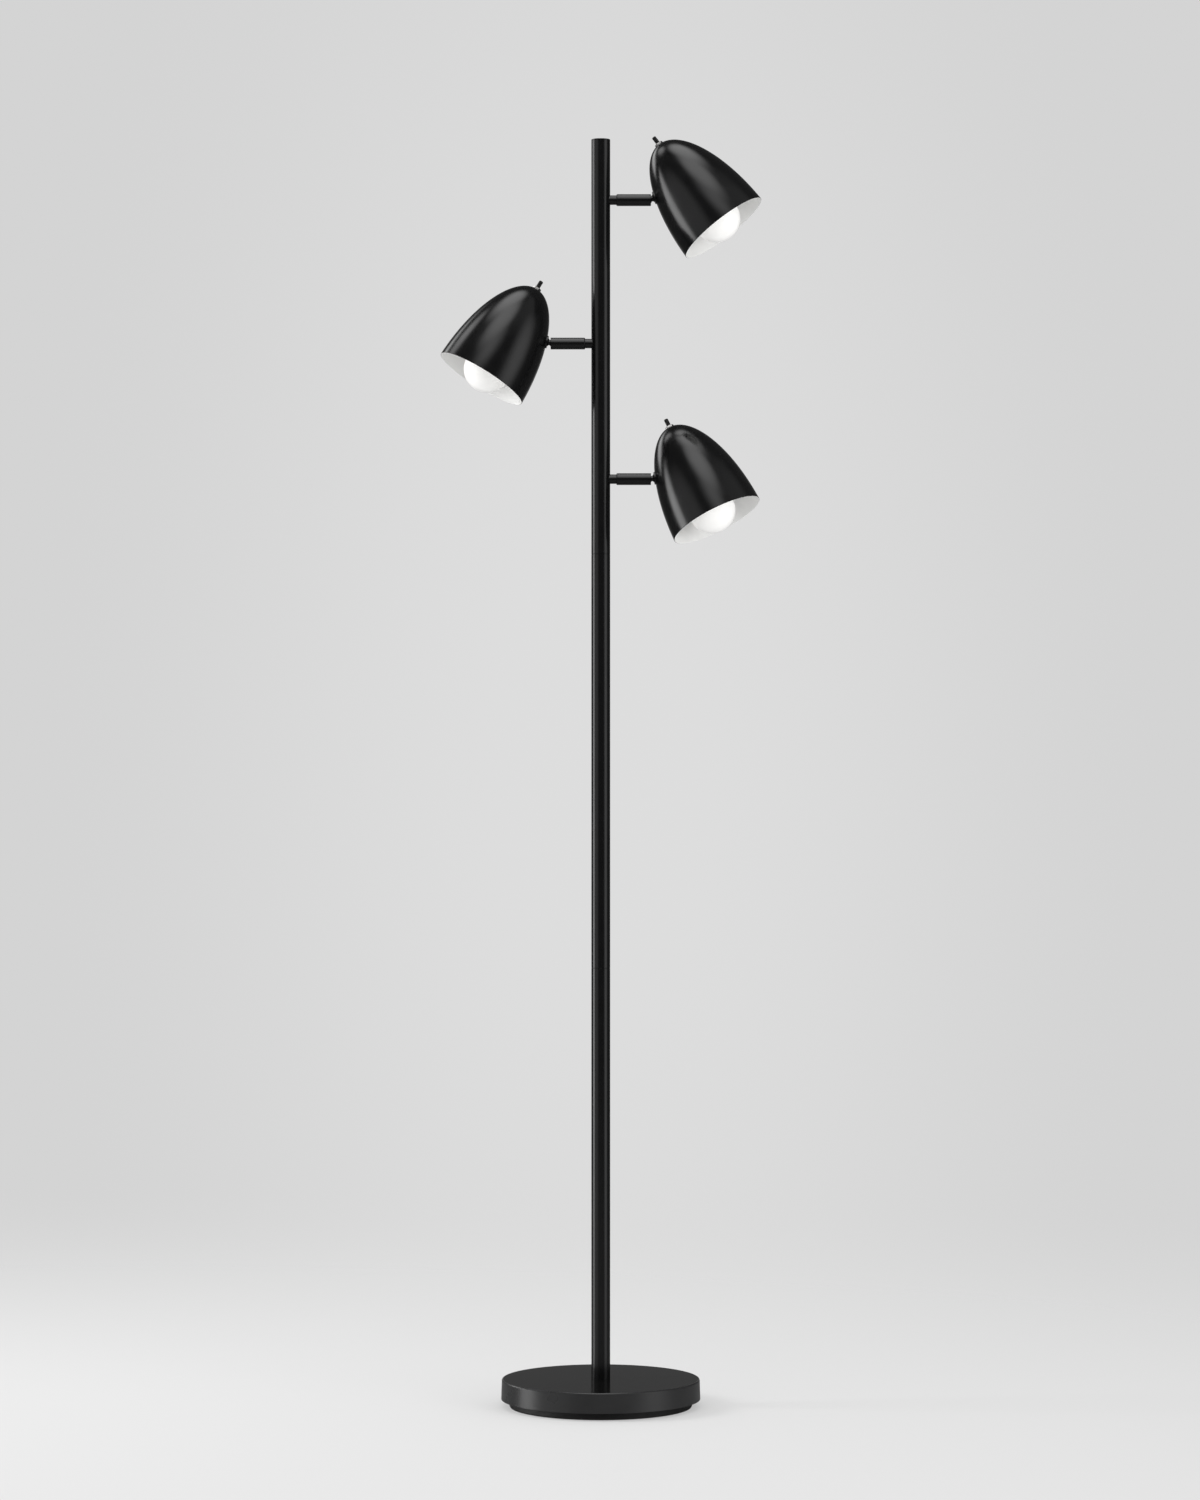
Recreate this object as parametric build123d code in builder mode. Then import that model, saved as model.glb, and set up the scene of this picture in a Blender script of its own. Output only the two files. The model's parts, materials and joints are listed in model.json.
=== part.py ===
from build123d import *
from dataclasses import dataclass
from math import asin, atan2, cos, degrees, radians, sin, sqrt
import os

# Three-light tree floor lamp, millimetres.
# Origin: middle of the base's underside. +Z runs up the pole, the arms lie along X,
# and the shades' mouths lean towards -Y.

# ---- Pole ----
pole_radius = 12.0
pole_wall = 1.2
pole_section_length = 527.8
pole_sections = ("lower", "middle", "upper")
pole_seat_depth = 4.0  # how far the pole stands in the base
pole_end_chamfer = 0.3
coupling_half_length = 24.0
coupling_bore_radius = 6.0
pole_foot_length = 26.0
pole_cap_thickness = 1.5
pole_cap_rounding = 0.7
pole_cap_plug_length = 8.0
pole_cap_wall = 2.0

# ---- Base ----
base_radius = 127.0
base_skirt_taper = 0.8
base_cover_height = 25.7
base_cover_wall = 1.2
base_edge_rounding = 2.0
weight_thickness = 12.0
weight_inset = 8.0  # from the base's rim to the weight's rim
weight_hole_clearance = 0.3
plinth_inset = 10.5  # from the base's rim to the plinth's ring
plinth_ring_height = 8.0
plinth_ring_width = 5.0
plinth_plate_thickness = 3.0
support_ring_radius = 104.0
support_ring_width = 4.0
service_hole_radius = 14.0
pad_thickness = 1.5
pad_inset = 0.8

# ---- Threaded tube and its nut, which hold the pole and the base together ----
base_stud_radius = 5.0
base_stud_bore_radius = 3.4
base_stud_engagement = 20.0
base_stud_tail = 0.5  # how far the tube shows below the nut
base_nut_across_flats = 17.0
base_nut_height = 6.0
base_nut_flange_radius = 11.0
base_nut_flange_thickness = 1.4
nut_recess_depth = 4.5
nut_recess_clearance = 3.0

# ---- Cord inlet, at the back of the base ----
inlet_height = 19.2
inlet_bore_radius = 3.2
inlet_collar_radius = 4.8
inlet_flange_radius = 6.2
inlet_flange_thickness = 1.2
cord_channel_width = 9.0
cord_channel_depth = 4.0
cord_channel_length = 42.0

# ---- Wiring held inside ----
riser_radius = 2.2
lead_radius = 1.6
wire_bend_radius = 6.0
terminal_length = 24.0
terminal_width = 16.0
terminal_height = 7.4
terminal_distance = 58.0  # from the pole's axis to the block's near face
terminal_hole_radius = 2.4
terminal_hole_spacing = 7.4
terminal_screw_radius = 1.6
terminal_screw_depth = 1.2
lead_back_in_ball = 3.5  # how far the head's lead starts behind the ball's centre
lead_past_stud = 12.5  # shade's outside to the lead's first bend
lead_turn_radius = 30.0  # shade's axis to the lead's second bend
lead_turn_rise = 3.0
lead_climb_radius = 25.5  # shade's axis to the lead's last bend
lead_climb_margin = 2.0
lead_bends = (4.5, 9.0, 7.0)
lead_entry_depth = 4.0  # how far the lead goes into the switch housing

# ---- Arms ----
upper_arm_drop = 76.0  # pole's top to each arm's axis
middle_arm_drop = 259.0
lower_arm_drop = 432.0
nipple_radius = 6.0
nipple_bore_radius = 2.6
nipple_tail_radius = 4.0
nipple_tail_reach = 5.5  # inwards from the pole's outside
nipple_visible_length = 8.0
nipple_engagement = 14.0
saddle_nut_thickness = 3.8
saddle_nut_width = 14.0
saddle_nut_height = 14.0
sleeve_radius = 7.5
sleeve_length = 44.0
sleeve_back_rounding = 1.2
sleeve_front_chamfer = 0.5

# ---- Ball joint at the end of each arm ----
ball_radius = 6.0
ball_clearance = 0.1
ball_depth = 4.5  # ball's centre to the sleeve's end
socket_lip_angle = 64.0  # from the arm's axis to the lip's edge, seen from the ball's centre
sleeve_mouth_radius = 6.3
seat_gap = 0.2
seat_setback = 3.2  # from the ball's centre back to the seat's rim
stud_neck_radius = 3.5
stud_neck_length = 8.3  # ball's centre to the shoulder
stud_thread_radius = 3.0
stud_thread_length = 10.0
stud_bore_radius = 2.0
stud_bore_flare_radius = 3.2
stud_bore_flare_depth = 1.2
shade_distance = 9.8  # ball's centre to the shade's outside, along the stud
collar_radius = 8.0
collar_flange_thickness = 1.3
collar_start = 7.0  # ball's centre to the collar's small end
collar_start_radius = 4.25
collar_waist_radius = 7.3
collar_edge_rounding = 0.35
stud_nut_across_flats = 10.0
stud_nut_thickness = 4.0
stud_nut_standoff = 0.45

# ---- Shades: half an ellipse, cut a little short of its widest place ----
shade_mouth_radius = 60.4
shade_length = 136.8
shade_widest_beyond_mouth = 7.8
shade_wall = 0.8
stud_station = 84.0  # mouth plane to the stud's hole, along the shade's axis

# ---- Rotary switch in the crown, and the lampholder under it ----
switch_thread_radius = 3.5
switch_bore_radius = 1.6
switch_shoulder_radius = 6.5
switch_shoulder_length = 8.0
switch_flange_radius = 9.0
switch_flange_thickness = 1.5
switch_nut_across_flats = 10.0
switch_nut_height = 2.3
switch_nut_chamfer = 0.5
knob_radius = 2.7
knob_length = 9.8
knob_rounding = 1.0
knob_gap = 0.3
knob_flutes = 12
knob_flute_radius = 0.35
knob_shaft_radius = 1.5
knob_shaft_length = 18.0
switch_housing_radius = 14.0
switch_housing_length = 19.0
socket_radius = 19.0
socket_length = 42.0
socket_floor_thickness = 13.0
socket_edge_rounding = 1.2
socket_shell_wall = 0.5
socket_shell_setback = 2.0
socket_shell_turn_in = 3.0

# ---- Bulb ----
bulb_radius = 30.0
bulb_length = 110.0
bulb_glass_wall = 0.8
bulb_neck_radius = 12.3
bulb_shoulder_angle = 38.0  # below the widest place, where the round part ends
bulb_cap_radius = 13.0
bulb_cap_wall = 0.5
bulb_cap_length = 27.0
bulb_cap_taper_length = 4.0
bulb_contact_radius = 4.6
bulb_contact_height = 1.0
bulb_glass_insertion = 8.0
bulb_thread_clearance = 0.3
bulb_contact_gap = 0.2

# ---- Fits ----
fixed_fit = 0.05  # threads and pressed-in plugs
running_fit = 0.05
hole_clearance = 0.2
wire_clearance = 0.3


@dataclass(frozen=True)
class Head:
    """One light: its arm's place on the pole and the way its shade is set."""

    name: str
    side: int  # +1 on the +X side, -1 on the -X side
    drop: float  # pole's top to the arm's axis
    tilt: float  # the mouth's swing away from the pole, from hanging straight
    lean: float  # the mouth's turn about the arm towards -Y


heads = (
    Head("upper", side=1, drop=upper_arm_drop, tilt=36.7, lean=8.9),
    Head("middle", side=-1, drop=middle_arm_drop, tilt=30.9, lean=9.1),
    Head("lower", side=1, drop=lower_arm_drop, tilt=25.75, lean=13.65),
)

hexagon_sides = 6
quarter_turn = 90.0

# ---- Heights worked out from the sizes above ----
plinth_bottom = pad_thickness
plinth_top = plinth_bottom + plinth_ring_height
plate_top = plinth_top + plinth_plate_thickness
base_top = plinth_top + base_cover_height
weight_top = base_top - base_cover_wall
weight_bottom = weight_top - weight_thickness
weight_radius = base_radius - weight_inset
pole_bottom = base_top - pole_seat_depth
pole_top = pole_bottom + len(pole_sections) * pole_section_length
pole_bore_radius = pole_radius - pole_wall
pole_plug_radius = pole_bore_radius - fixed_fit
nut_seat = weight_bottom + nut_recess_depth
base_nut_bottom = nut_seat - base_nut_height
base_stud_bottom = base_nut_bottom - base_stud_tail
base_stud_top = pole_bottom + base_stud_engagement
wire_run_height = plate_top + riser_radius + wire_clearance

# ---- Places along an arm, measured outwards from the pole's axis ----
sleeve_start = pole_radius + nipple_visible_length
sleeve_end = sleeve_start + sleeve_length
nipple_end = sleeve_start + nipple_engagement
nipple_tail_end = pole_radius - nipple_tail_reach
ball_station = sleeve_end - ball_depth
socket_ball_radius = ball_radius + ball_clearance
arm_lead_end = ball_station - ball_radius - wire_clearance

# ---- The shade's ellipse, and stations along its axis from the mouth plane ----
shade_long_radius = shade_length + shade_widest_beyond_mouth
shade_short_radius = shade_mouth_radius / sqrt(1 - (shade_widest_beyond_mouth / shade_long_radius) ** 2)


def shade_station_at(radius, inset):
    """Station where the shade's outside, moved in by inset, has this radius."""
    share = radius / (shade_short_radius - inset)
    return (shade_long_radius - inset) * sqrt(1 - share**2) - shade_widest_beyond_mouth


def shade_radius_at(station, inset):
    """Radius of the shade's outside, moved in by inset, at a station."""
    share = (station + shade_widest_beyond_mouth) / (shade_long_radius - inset)
    return (shade_short_radius - inset) * sqrt(1 - share**2)


stud_place_radius = shade_radius_at(stud_station, 0)
stud_slope = degrees(
    atan2(
        (stud_station + shade_widest_beyond_mouth) / shade_long_radius**2,
        stud_place_radius / shade_short_radius**2,
    )
)
ball_from_axis = stud_place_radius + shade_distance * cos(radians(stud_slope))
ball_from_mouth = stud_station + shade_distance * sin(radians(stud_slope))

shoulder_top = shade_station_at(switch_shoulder_radius, shade_wall) - fixed_fit
housing_top = shoulder_top - switch_shoulder_length
socket_top = housing_top - switch_housing_length
socket_mouth = socket_top - socket_length
socket_floor = socket_top - socket_floor_thickness
switch_nut_base = shade_station_at(switch_thread_radius, 0) + fixed_fit
switch_nut_top = switch_nut_base + switch_nut_height
knob_base = switch_nut_top + knob_gap
bulb_end = socket_floor - bulb_contact_gap
bulb_tip = bulb_end - bulb_length
bulb_centre = bulb_tip + bulb_radius
bulb_cap_start = bulb_end - bulb_cap_length
bulb_neck_end = bulb_cap_start + bulb_glass_insertion
shell_inner_radius = bulb_cap_radius + bulb_thread_clearance
shell_outer_radius = shell_inner_radius + socket_shell_wall
shell_start = socket_mouth + socket_shell_setback


# ---- Planes that the pieces are drawn on ----
def arm_height(head):
    """Height of an arm's axis."""
    return pole_top - head.drop


def turned(direction, head):
    """A direction of the straight-hanging shade, after the head's tilt and lean."""
    tilted = direction.rotate(Axis.Y, -head.side * head.tilt)
    return tilted.rotate(Axis.X, -head.lean)


def arm_section(head):
    """Half section of an arm: x away from the arm's axis, y outwards along it."""
    return Plane(
        origin=(0, 0, arm_height(head)),
        x_dir=(0, 0, 1),
        z_dir=(0, head.side, 0),
    )


def ball_centre(head):
    """Centre of a head's ball joint."""
    return Vector(head.side * ball_station, 0, arm_height(head))


def shade_section(head):
    """Half section of a shade: x from its axis towards the arm, y from mouth to crown."""
    towards_arm = turned(Vector(-head.side, 0, 0), head)
    towards_crown = turned(Vector(0, 0, 1), head)
    mouth = ball_centre(head) - towards_arm * ball_from_axis - towards_crown * ball_from_mouth
    return Plane(origin=mouth, x_dir=towards_arm, z_dir=towards_arm.cross(towards_crown))


def stud_section(head):
    """Half section of a ball stud: x away from its axis, y from the ball to the shade."""
    shade = shade_section(head)
    slope = radians(stud_slope)
    towards_shade = -(shade.x_dir * cos(slope) + shade.y_dir * sin(slope))
    across = shade.x_dir * -sin(slope) + shade.y_dir * cos(slope)
    return Plane(origin=ball_centre(head), x_dir=across, z_dir=across.cross(towards_shade))


def axis_of(section):
    """The line that a half section is turned about."""
    return Axis(section.origin, section.y_dir)


def square_to(section, distance):
    """Plane across a half section's axis, at a distance along it."""
    return Plane(
        origin=section.origin + section.y_dir * distance,
        x_dir=section.x_dir,
        z_dir=section.y_dir,
    )


def hexagon_radius(across_flats):
    """Corner radius of a hexagon."""
    return across_flats / sqrt(3)


def finish(part, name):
    """Label a finished piece and write it."""
    part.label = name
    export_step(part, f"parts/{name}.step")


os.makedirs("parts", exist_ok=True)

# ======== Base ========
with BuildPart() as base_cover:
    with BuildSketch(Plane.XZ):
        with BuildLine():
            Polyline(
                (0, plinth_top),
                (base_radius, plinth_top),
                (base_radius - base_skirt_taper, base_top),
                (0, base_top),
                close=True,
            )
        make_face()
    revolve(axis=Axis.Z)
    fillet(base_cover.edges().group_by(Axis.Z)[-1], base_edge_rounding)
    offset(amount=-base_cover_wall, openings=base_cover.faces().sort_by(Axis.Z)[0])
    with BuildSketch(Plane.XY.offset(weight_top)):
        Circle(pole_radius + hole_clearance)
    extrude(amount=base_cover_wall, mode=Mode.SUBTRACT)
    with BuildSketch(Plane.XZ.offset(-base_radius - base_skirt_taper)):
        with Locations((0, inlet_height)):
            Circle(inlet_collar_radius + hole_clearance)
    extrude(amount=2 * (base_skirt_taper + base_cover_wall), mode=Mode.SUBTRACT)
finish(base_cover.part, "base_cover")

with BuildPart() as base_weight:
    with BuildSketch(Plane.XY.offset(weight_bottom)):
        Circle(weight_radius)
        Circle(base_stud_radius + weight_hole_clearance, mode=Mode.SUBTRACT)
    extrude(amount=weight_thickness)
    with BuildSketch(Plane.XY.offset(weight_bottom)):
        Circle(base_nut_flange_radius + nut_recess_clearance)
    extrude(amount=nut_recess_depth, mode=Mode.SUBTRACT)
    with BuildSketch(Plane.XY.offset(pole_bottom)):
        Circle(pole_radius + hole_clearance)
    extrude(amount=weight_top - pole_bottom, mode=Mode.SUBTRACT)
    with BuildSketch(Plane.XY.offset(weight_bottom)):
        with Locations((0, weight_radius)):
            Rectangle(cord_channel_width, 2 * cord_channel_length)
    extrude(amount=cord_channel_depth, mode=Mode.SUBTRACT)
finish(base_weight.part, "base_weight")

with BuildPart() as base_plinth:
    with BuildSketch(Plane.XY.offset(plinth_top)):
        Circle(base_radius - base_cover_wall - hole_clearance)
        Circle(service_hole_radius, mode=Mode.SUBTRACT)
    extrude(amount=plinth_plate_thickness)
    with BuildSketch(Plane.XY.offset(plinth_bottom)):
        Circle(base_radius - plinth_inset)
        Circle(base_radius - plinth_inset - plinth_ring_width, mode=Mode.SUBTRACT)
    extrude(amount=plinth_ring_height)
    with BuildSketch(Plane.XY.offset(plate_top)):
        Circle(support_ring_radius)
        Circle(support_ring_radius - support_ring_width, mode=Mode.SUBTRACT)
        with Locations((0, support_ring_radius)):
            Rectangle(cord_channel_width, 4 * support_ring_width, mode=Mode.SUBTRACT)
    extrude(amount=weight_bottom - plate_top)
finish(base_plinth.part, "base_plinth")

with BuildPart() as base_pad:
    with BuildSketch():
        Circle(base_radius - plinth_inset - pad_inset)
    extrude(amount=pad_thickness)
finish(base_pad.part, "base_pad")

with BuildPart() as base_stud:
    with BuildSketch(Plane.XY.offset(base_stud_bottom)):
        Circle(base_stud_radius)
        Circle(base_stud_bore_radius, mode=Mode.SUBTRACT)
    extrude(amount=base_stud_top - base_stud_bottom)
    rims = base_stud.edges().filter_by(GeomType.CIRCLE).group_by(SortBy.RADIUS)[-1]
    chamfer(rims, pole_end_chamfer)
finish(base_stud.part, "base_stud")

with BuildPart() as base_nut:
    with BuildSketch(Plane.XY.offset(base_nut_bottom)):
        RegularPolygon(hexagon_radius(base_nut_across_flats), hexagon_sides)
    extrude(amount=base_nut_height)
    with BuildSketch(Plane.XY.offset(nut_seat)):
        Circle(base_nut_flange_radius)
    extrude(amount=-base_nut_flange_thickness)
    with BuildSketch(Plane.XY.offset(base_nut_bottom)):
        Circle(base_stud_radius + fixed_fit)
    extrude(amount=base_nut_height, mode=Mode.SUBTRACT)
finish(base_nut.part, "base_nut")

inlet_outer_face = base_radius + hole_clearance
inlet_inner_face = base_radius - base_skirt_taper - base_cover_wall - hole_clearance
with BuildPart() as cord_bushing:
    with BuildSketch(Plane.XZ.offset(-inlet_outer_face - inlet_flange_thickness)):
        with Locations((0, inlet_height)):
            Circle(inlet_flange_radius)
    extrude(amount=inlet_flange_thickness)
    fillet(cord_bushing.edges().sort_by(Axis.Y)[-1], inlet_flange_thickness / 2)
    with BuildSketch(Plane.XZ.offset(-inlet_outer_face)):
        with Locations((0, inlet_height)):
            Circle(inlet_collar_radius)
    extrude(amount=inlet_outer_face - inlet_inner_face)
    with BuildSketch(Plane.XZ.offset(-inlet_inner_face)):
        with Locations((0, inlet_height)):
            Circle(inlet_flange_radius)
    extrude(amount=inlet_flange_thickness)
    with BuildSketch(Plane.XZ.offset(-inlet_outer_face - inlet_flange_thickness)):
        with Locations((0, inlet_height)):
            Circle(inlet_bore_radius)
    extrude(amount=base_radius, mode=Mode.SUBTRACT)
finish(cord_bushing.part, "cord_bushing")

with BuildPart() as terminal_block:
    with BuildSketch(Plane.XY.offset(plate_top)):
        with Locations((0, terminal_distance + terminal_length / 2)):
            Rectangle(terminal_width, terminal_length)
    extrude(amount=terminal_height)
    fillet(terminal_block.edges().filter_by(Axis.Z), terminal_hole_radius / 2)
    far_face = terminal_block.faces().sort_by(Axis.Y)[-1]
    with BuildSketch(Plane(origin=far_face.center(), x_dir=(1, 0, 0), z_dir=(0, 1, 0))):
        with GridLocations(terminal_hole_spacing, 0, 2, 1):
            Circle(terminal_hole_radius)
    extrude(amount=-terminal_length / 2, mode=Mode.SUBTRACT)
    with BuildSketch(terminal_block.faces().sort_by(Axis.Z)[-1]):
        with GridLocations(terminal_hole_spacing, terminal_length / 2, 2, 2):
            Circle(terminal_screw_radius)
    extrude(amount=-terminal_screw_depth, mode=Mode.SUBTRACT)
finish(terminal_block.part, "terminal_block")

# ======== Pole ========
with BuildPart() as pole_foot:
    with BuildSketch(Plane.XY.offset(pole_bottom)):
        Circle(pole_plug_radius)
        Circle(base_stud_radius + fixed_fit, mode=Mode.SUBTRACT)
    extrude(amount=pole_foot_length)
finish(pole_foot.part, "pole_foot")

for number, name in enumerate(pole_sections):
    section_bottom = pole_bottom + number * pole_section_length
    with BuildPart() as pole_section:
        with BuildSketch(Plane.XY.offset(section_bottom)):
            Circle(pole_radius)
        extrude(amount=pole_section_length)
        chamfer(pole_section.edges().filter_by(GeomType.CIRCLE), pole_end_chamfer)
        with BuildSketch(Plane.XY.offset(section_bottom)):
            Circle(pole_bore_radius)
        extrude(amount=pole_section_length, mode=Mode.SUBTRACT)
        for head in heads:
            with BuildSketch(square_to(arm_section(head), 0)):
                Circle(nipple_tail_radius + hole_clearance)
            extrude(amount=2 * pole_radius, mode=Mode.SUBTRACT)
    finish(pole_section.part, f"pole_{name}")

    if number > 0:
        with BuildPart() as coupling:
            with BuildSketch(Plane.XY.offset(section_bottom)):
                Circle(pole_plug_radius)
                Circle(coupling_bore_radius, mode=Mode.SUBTRACT)
            extrude(amount=coupling_half_length, both=True)
            rims = coupling.edges().filter_by(GeomType.CIRCLE).group_by(SortBy.RADIUS)[-1]
            chamfer(rims, pole_end_chamfer)
        finish(coupling.part, f"{pole_sections[number - 1]}_coupling")

with BuildPart() as pole_cap:
    with BuildSketch(Plane.XY.offset(pole_top)):
        Circle(pole_radius)
    extrude(amount=pole_cap_thickness)
    fillet(pole_cap.edges().group_by(Axis.Z)[-1], pole_cap_rounding)
    with BuildSketch(Plane.XY.offset(pole_top)):
        Circle(pole_plug_radius)
        Circle(pole_plug_radius - pole_cap_wall, mode=Mode.SUBTRACT)
    extrude(amount=-pole_cap_plug_length)
finish(pole_cap.part, "pole_cap")

# ======== Arms ========
with BuildPart() as saddle_nuts:
    for head in heads:
        with BuildSketch(Plane.XY.offset(arm_height(head))):
            Circle(pole_plug_radius)
            with Locations((head.side * (pole_plug_radius - saddle_nut_thickness / 2), 0)):
                Rectangle(saddle_nut_thickness, saddle_nut_width, mode=Mode.INTERSECT)
        extrude(amount=saddle_nut_height / 2, both=True)
        with BuildSketch(square_to(arm_section(head), 0)):
            Circle(nipple_tail_radius + fixed_fit)
        extrude(amount=2 * pole_radius, mode=Mode.SUBTRACT)
finish(saddle_nuts.part, "saddle_nuts")

with BuildPart() as arm_nipples:
    for head in heads:
        section = arm_section(head)
        with BuildSketch(section):
            with Locations((nipple_radius / 2, (pole_bore_radius - pole_wall + nipple_end) / 2)):
                Rectangle(nipple_radius, nipple_end - pole_bore_radius + pole_wall)
        revolve(axis=axis_of(section))
    with BuildSketch(Plane.XY.offset(pole_bottom)):
        Circle(pole_radius + fixed_fit)
    extrude(amount=pole_top - pole_bottom, mode=Mode.SUBTRACT)
    for head in heads:
        section = arm_section(head)
        with BuildSketch(square_to(section, nipple_tail_end)):
            Circle(nipple_tail_radius)
        extrude(amount=sleeve_start - nipple_tail_end)
        with BuildSketch(square_to(section, nipple_tail_end)):
            Circle(nipple_bore_radius)
        extrude(amount=nipple_end - nipple_tail_end, mode=Mode.SUBTRACT)
finish(arm_nipples.part, "arm_nipples")

lip_angle = radians(socket_lip_angle)
for head in heads:
    section = arm_section(head)
    with BuildPart() as arm_sleeve:
        with BuildSketch(section) as arm_sketch:
            with BuildLine():
                lip_start = (socket_ball_radius, ball_station)
                lip_middle = (
                    socket_ball_radius * cos((radians(quarter_turn) - lip_angle) / 2),
                    ball_station + socket_ball_radius * sin((radians(quarter_turn) - lip_angle) / 2),
                )
                lip_end = (
                    socket_ball_radius * sin(lip_angle),
                    ball_station + socket_ball_radius * cos(lip_angle),
                )
                ThreePointArc(lip_start, lip_middle, lip_end)
                Polyline(
                    lip_end,
                    (sleeve_mouth_radius, sleeve_end),
                    (sleeve_radius - sleeve_front_chamfer, sleeve_end),
                    (sleeve_radius, sleeve_end - sleeve_front_chamfer),
                    (sleeve_radius, sleeve_start),
                    (nipple_radius + fixed_fit, sleeve_start),
                    (nipple_radius + fixed_fit, nipple_end),
                    (socket_ball_radius, nipple_end),
                    lip_start,
                )
            make_face()
            fillet(
                arm_sketch.vertices().sort_by_distance((sleeve_radius, sleeve_start))[0],
                sleeve_back_rounding,
            )
        revolve(axis=axis_of(section))
    finish(arm_sleeve.part, f"arm_sleeve_{head.name}")

# ======== Ball joints ========
seat_front = ball_station - seat_setback
seat_rim_radius = sqrt(socket_ball_radius**2 - seat_setback**2)
seat_bore_depth = sqrt(socket_ball_radius**2 - nipple_bore_radius**2)
cup_angle = (asin(nipple_bore_radius / socket_ball_radius) + asin(seat_rim_radius / socket_ball_radius)) / 2
cup_middle = (
    socket_ball_radius * sin(cup_angle),
    ball_station - socket_ball_radius * cos(cup_angle),
)
stud_end = stud_neck_length + stud_thread_length
neck_depth = sqrt(ball_radius**2 - stud_neck_radius**2)
flare_depth = sqrt(ball_radius**2 - stud_bore_flare_radius**2)
collar_flange_start = shade_distance - collar_flange_thickness
collar_bore_radius = stud_thread_radius + running_fit
nut_start = shade_distance + shade_wall + stud_nut_standoff

for head in heads:
    section = arm_section(head)
    with BuildPart() as ball_seat:
        with BuildSketch(section):
            with BuildLine():
                bore_end = (nipple_bore_radius, ball_station - seat_bore_depth)
                rim = (seat_rim_radius, seat_front)
                ThreePointArc(bore_end, cup_middle, rim)
                Polyline(
                    rim,
                    (socket_ball_radius - ball_clearance, seat_front),
                    (socket_ball_radius - ball_clearance, nipple_end + seat_gap),
                    (nipple_bore_radius, nipple_end + seat_gap),
                    bore_end,
                )
            make_face()
        revolve(axis=axis_of(section))
    finish(ball_seat.part, f"ball_seat_{head.name}")

    section = stud_section(head)
    with BuildPart() as ball_stud:
        with BuildSketch(section):
            with BuildLine():
                ThreePointArc(
                    (stud_bore_flare_radius, -flare_depth),
                    (ball_radius, 0),
                    (stud_neck_radius, neck_depth),
                )
                Polyline(
                    (stud_neck_radius, neck_depth),
                    (stud_neck_radius, stud_neck_length),
                    (stud_thread_radius, stud_neck_length),
                    (stud_thread_radius, stud_end),
                    (stud_bore_radius, stud_end),
                    (stud_bore_radius, stud_bore_flare_depth - flare_depth),
                    (stud_bore_flare_radius, -flare_depth),
                )
            make_face()
        revolve(axis=axis_of(section))
    finish(ball_stud.part, f"ball_stud_{head.name}")

    with BuildPart() as shade_collar:
        with BuildSketch(section) as collar_sketch:
            with BuildLine():
                waist_middle = (
                    collar_start_radius + 0.35 * (collar_waist_radius - collar_start_radius),
                    collar_start + 0.65 * (collar_flange_start - collar_start),
                )
                ThreePointArc(
                    (collar_start_radius, collar_start),
                    waist_middle,
                    (collar_waist_radius, collar_flange_start),
                )
                Polyline(
                    (collar_waist_radius, collar_flange_start),
                    (collar_radius, collar_flange_start),
                    (collar_radius, shade_distance + collar_flange_thickness),
                    (collar_bore_radius, shade_distance + collar_flange_thickness),
                    (collar_bore_radius, stud_neck_length + running_fit),
                    (stud_neck_radius + running_fit, stud_neck_length + running_fit),
                    (stud_neck_radius + running_fit, collar_start),
                    (collar_start_radius, collar_start),
                )
            make_face()
            fillet(
                collar_sketch.vertices().sort_by_distance((collar_radius, collar_flange_start))[0],
                collar_edge_rounding,
            )
        revolve(axis=axis_of(section))
        with BuildSketch(shade_section(head)):
            with BuildLine():
                EllipticalCenterArc(
                    (0, -shade_widest_beyond_mouth),
                    shade_short_radius + fixed_fit,
                    shade_long_radius + fixed_fit,
                    arc_size=quarter_turn,
                )
                Polyline(
                    (0, shade_long_radius + fixed_fit - shade_widest_beyond_mouth),
                    (0, -shade_widest_beyond_mouth),
                    (shade_short_radius + fixed_fit, -shade_widest_beyond_mouth),
                )
            make_face()
        revolve(axis=axis_of(shade_section(head)), mode=Mode.SUBTRACT)
    finish(shade_collar.part, f"shade_collar_{head.name}")

    with BuildPart() as stud_nut:
        with BuildSketch(square_to(section, nut_start)):
            RegularPolygon(hexagon_radius(stud_nut_across_flats), hexagon_sides)
            Circle(collar_bore_radius, mode=Mode.SUBTRACT)
        extrude(amount=stud_nut_thickness)
    finish(stud_nut.part, f"stud_nut_{head.name}")

# ======== Shades, switches, lampholders and bulbs ========
lead_route = (
    (
        ball_from_axis + lead_back_in_ball * cos(radians(stud_slope)),
        ball_from_mouth + lead_back_in_ball * sin(radians(stud_slope)),
    ),
    (
        stud_place_radius - lead_past_stud * cos(radians(stud_slope)),
        stud_station - lead_past_stud * sin(radians(stud_slope)),
    ),
    (lead_turn_radius, stud_station + lead_turn_rise),
    (lead_climb_radius, socket_top + lead_climb_margin),
    (switch_housing_radius - lead_entry_depth, socket_top + switch_housing_length / 2),
)
crown_hole_radius = switch_thread_radius + hole_clearance
stud_hole_radius = stud_thread_radius + hole_clearance


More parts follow.
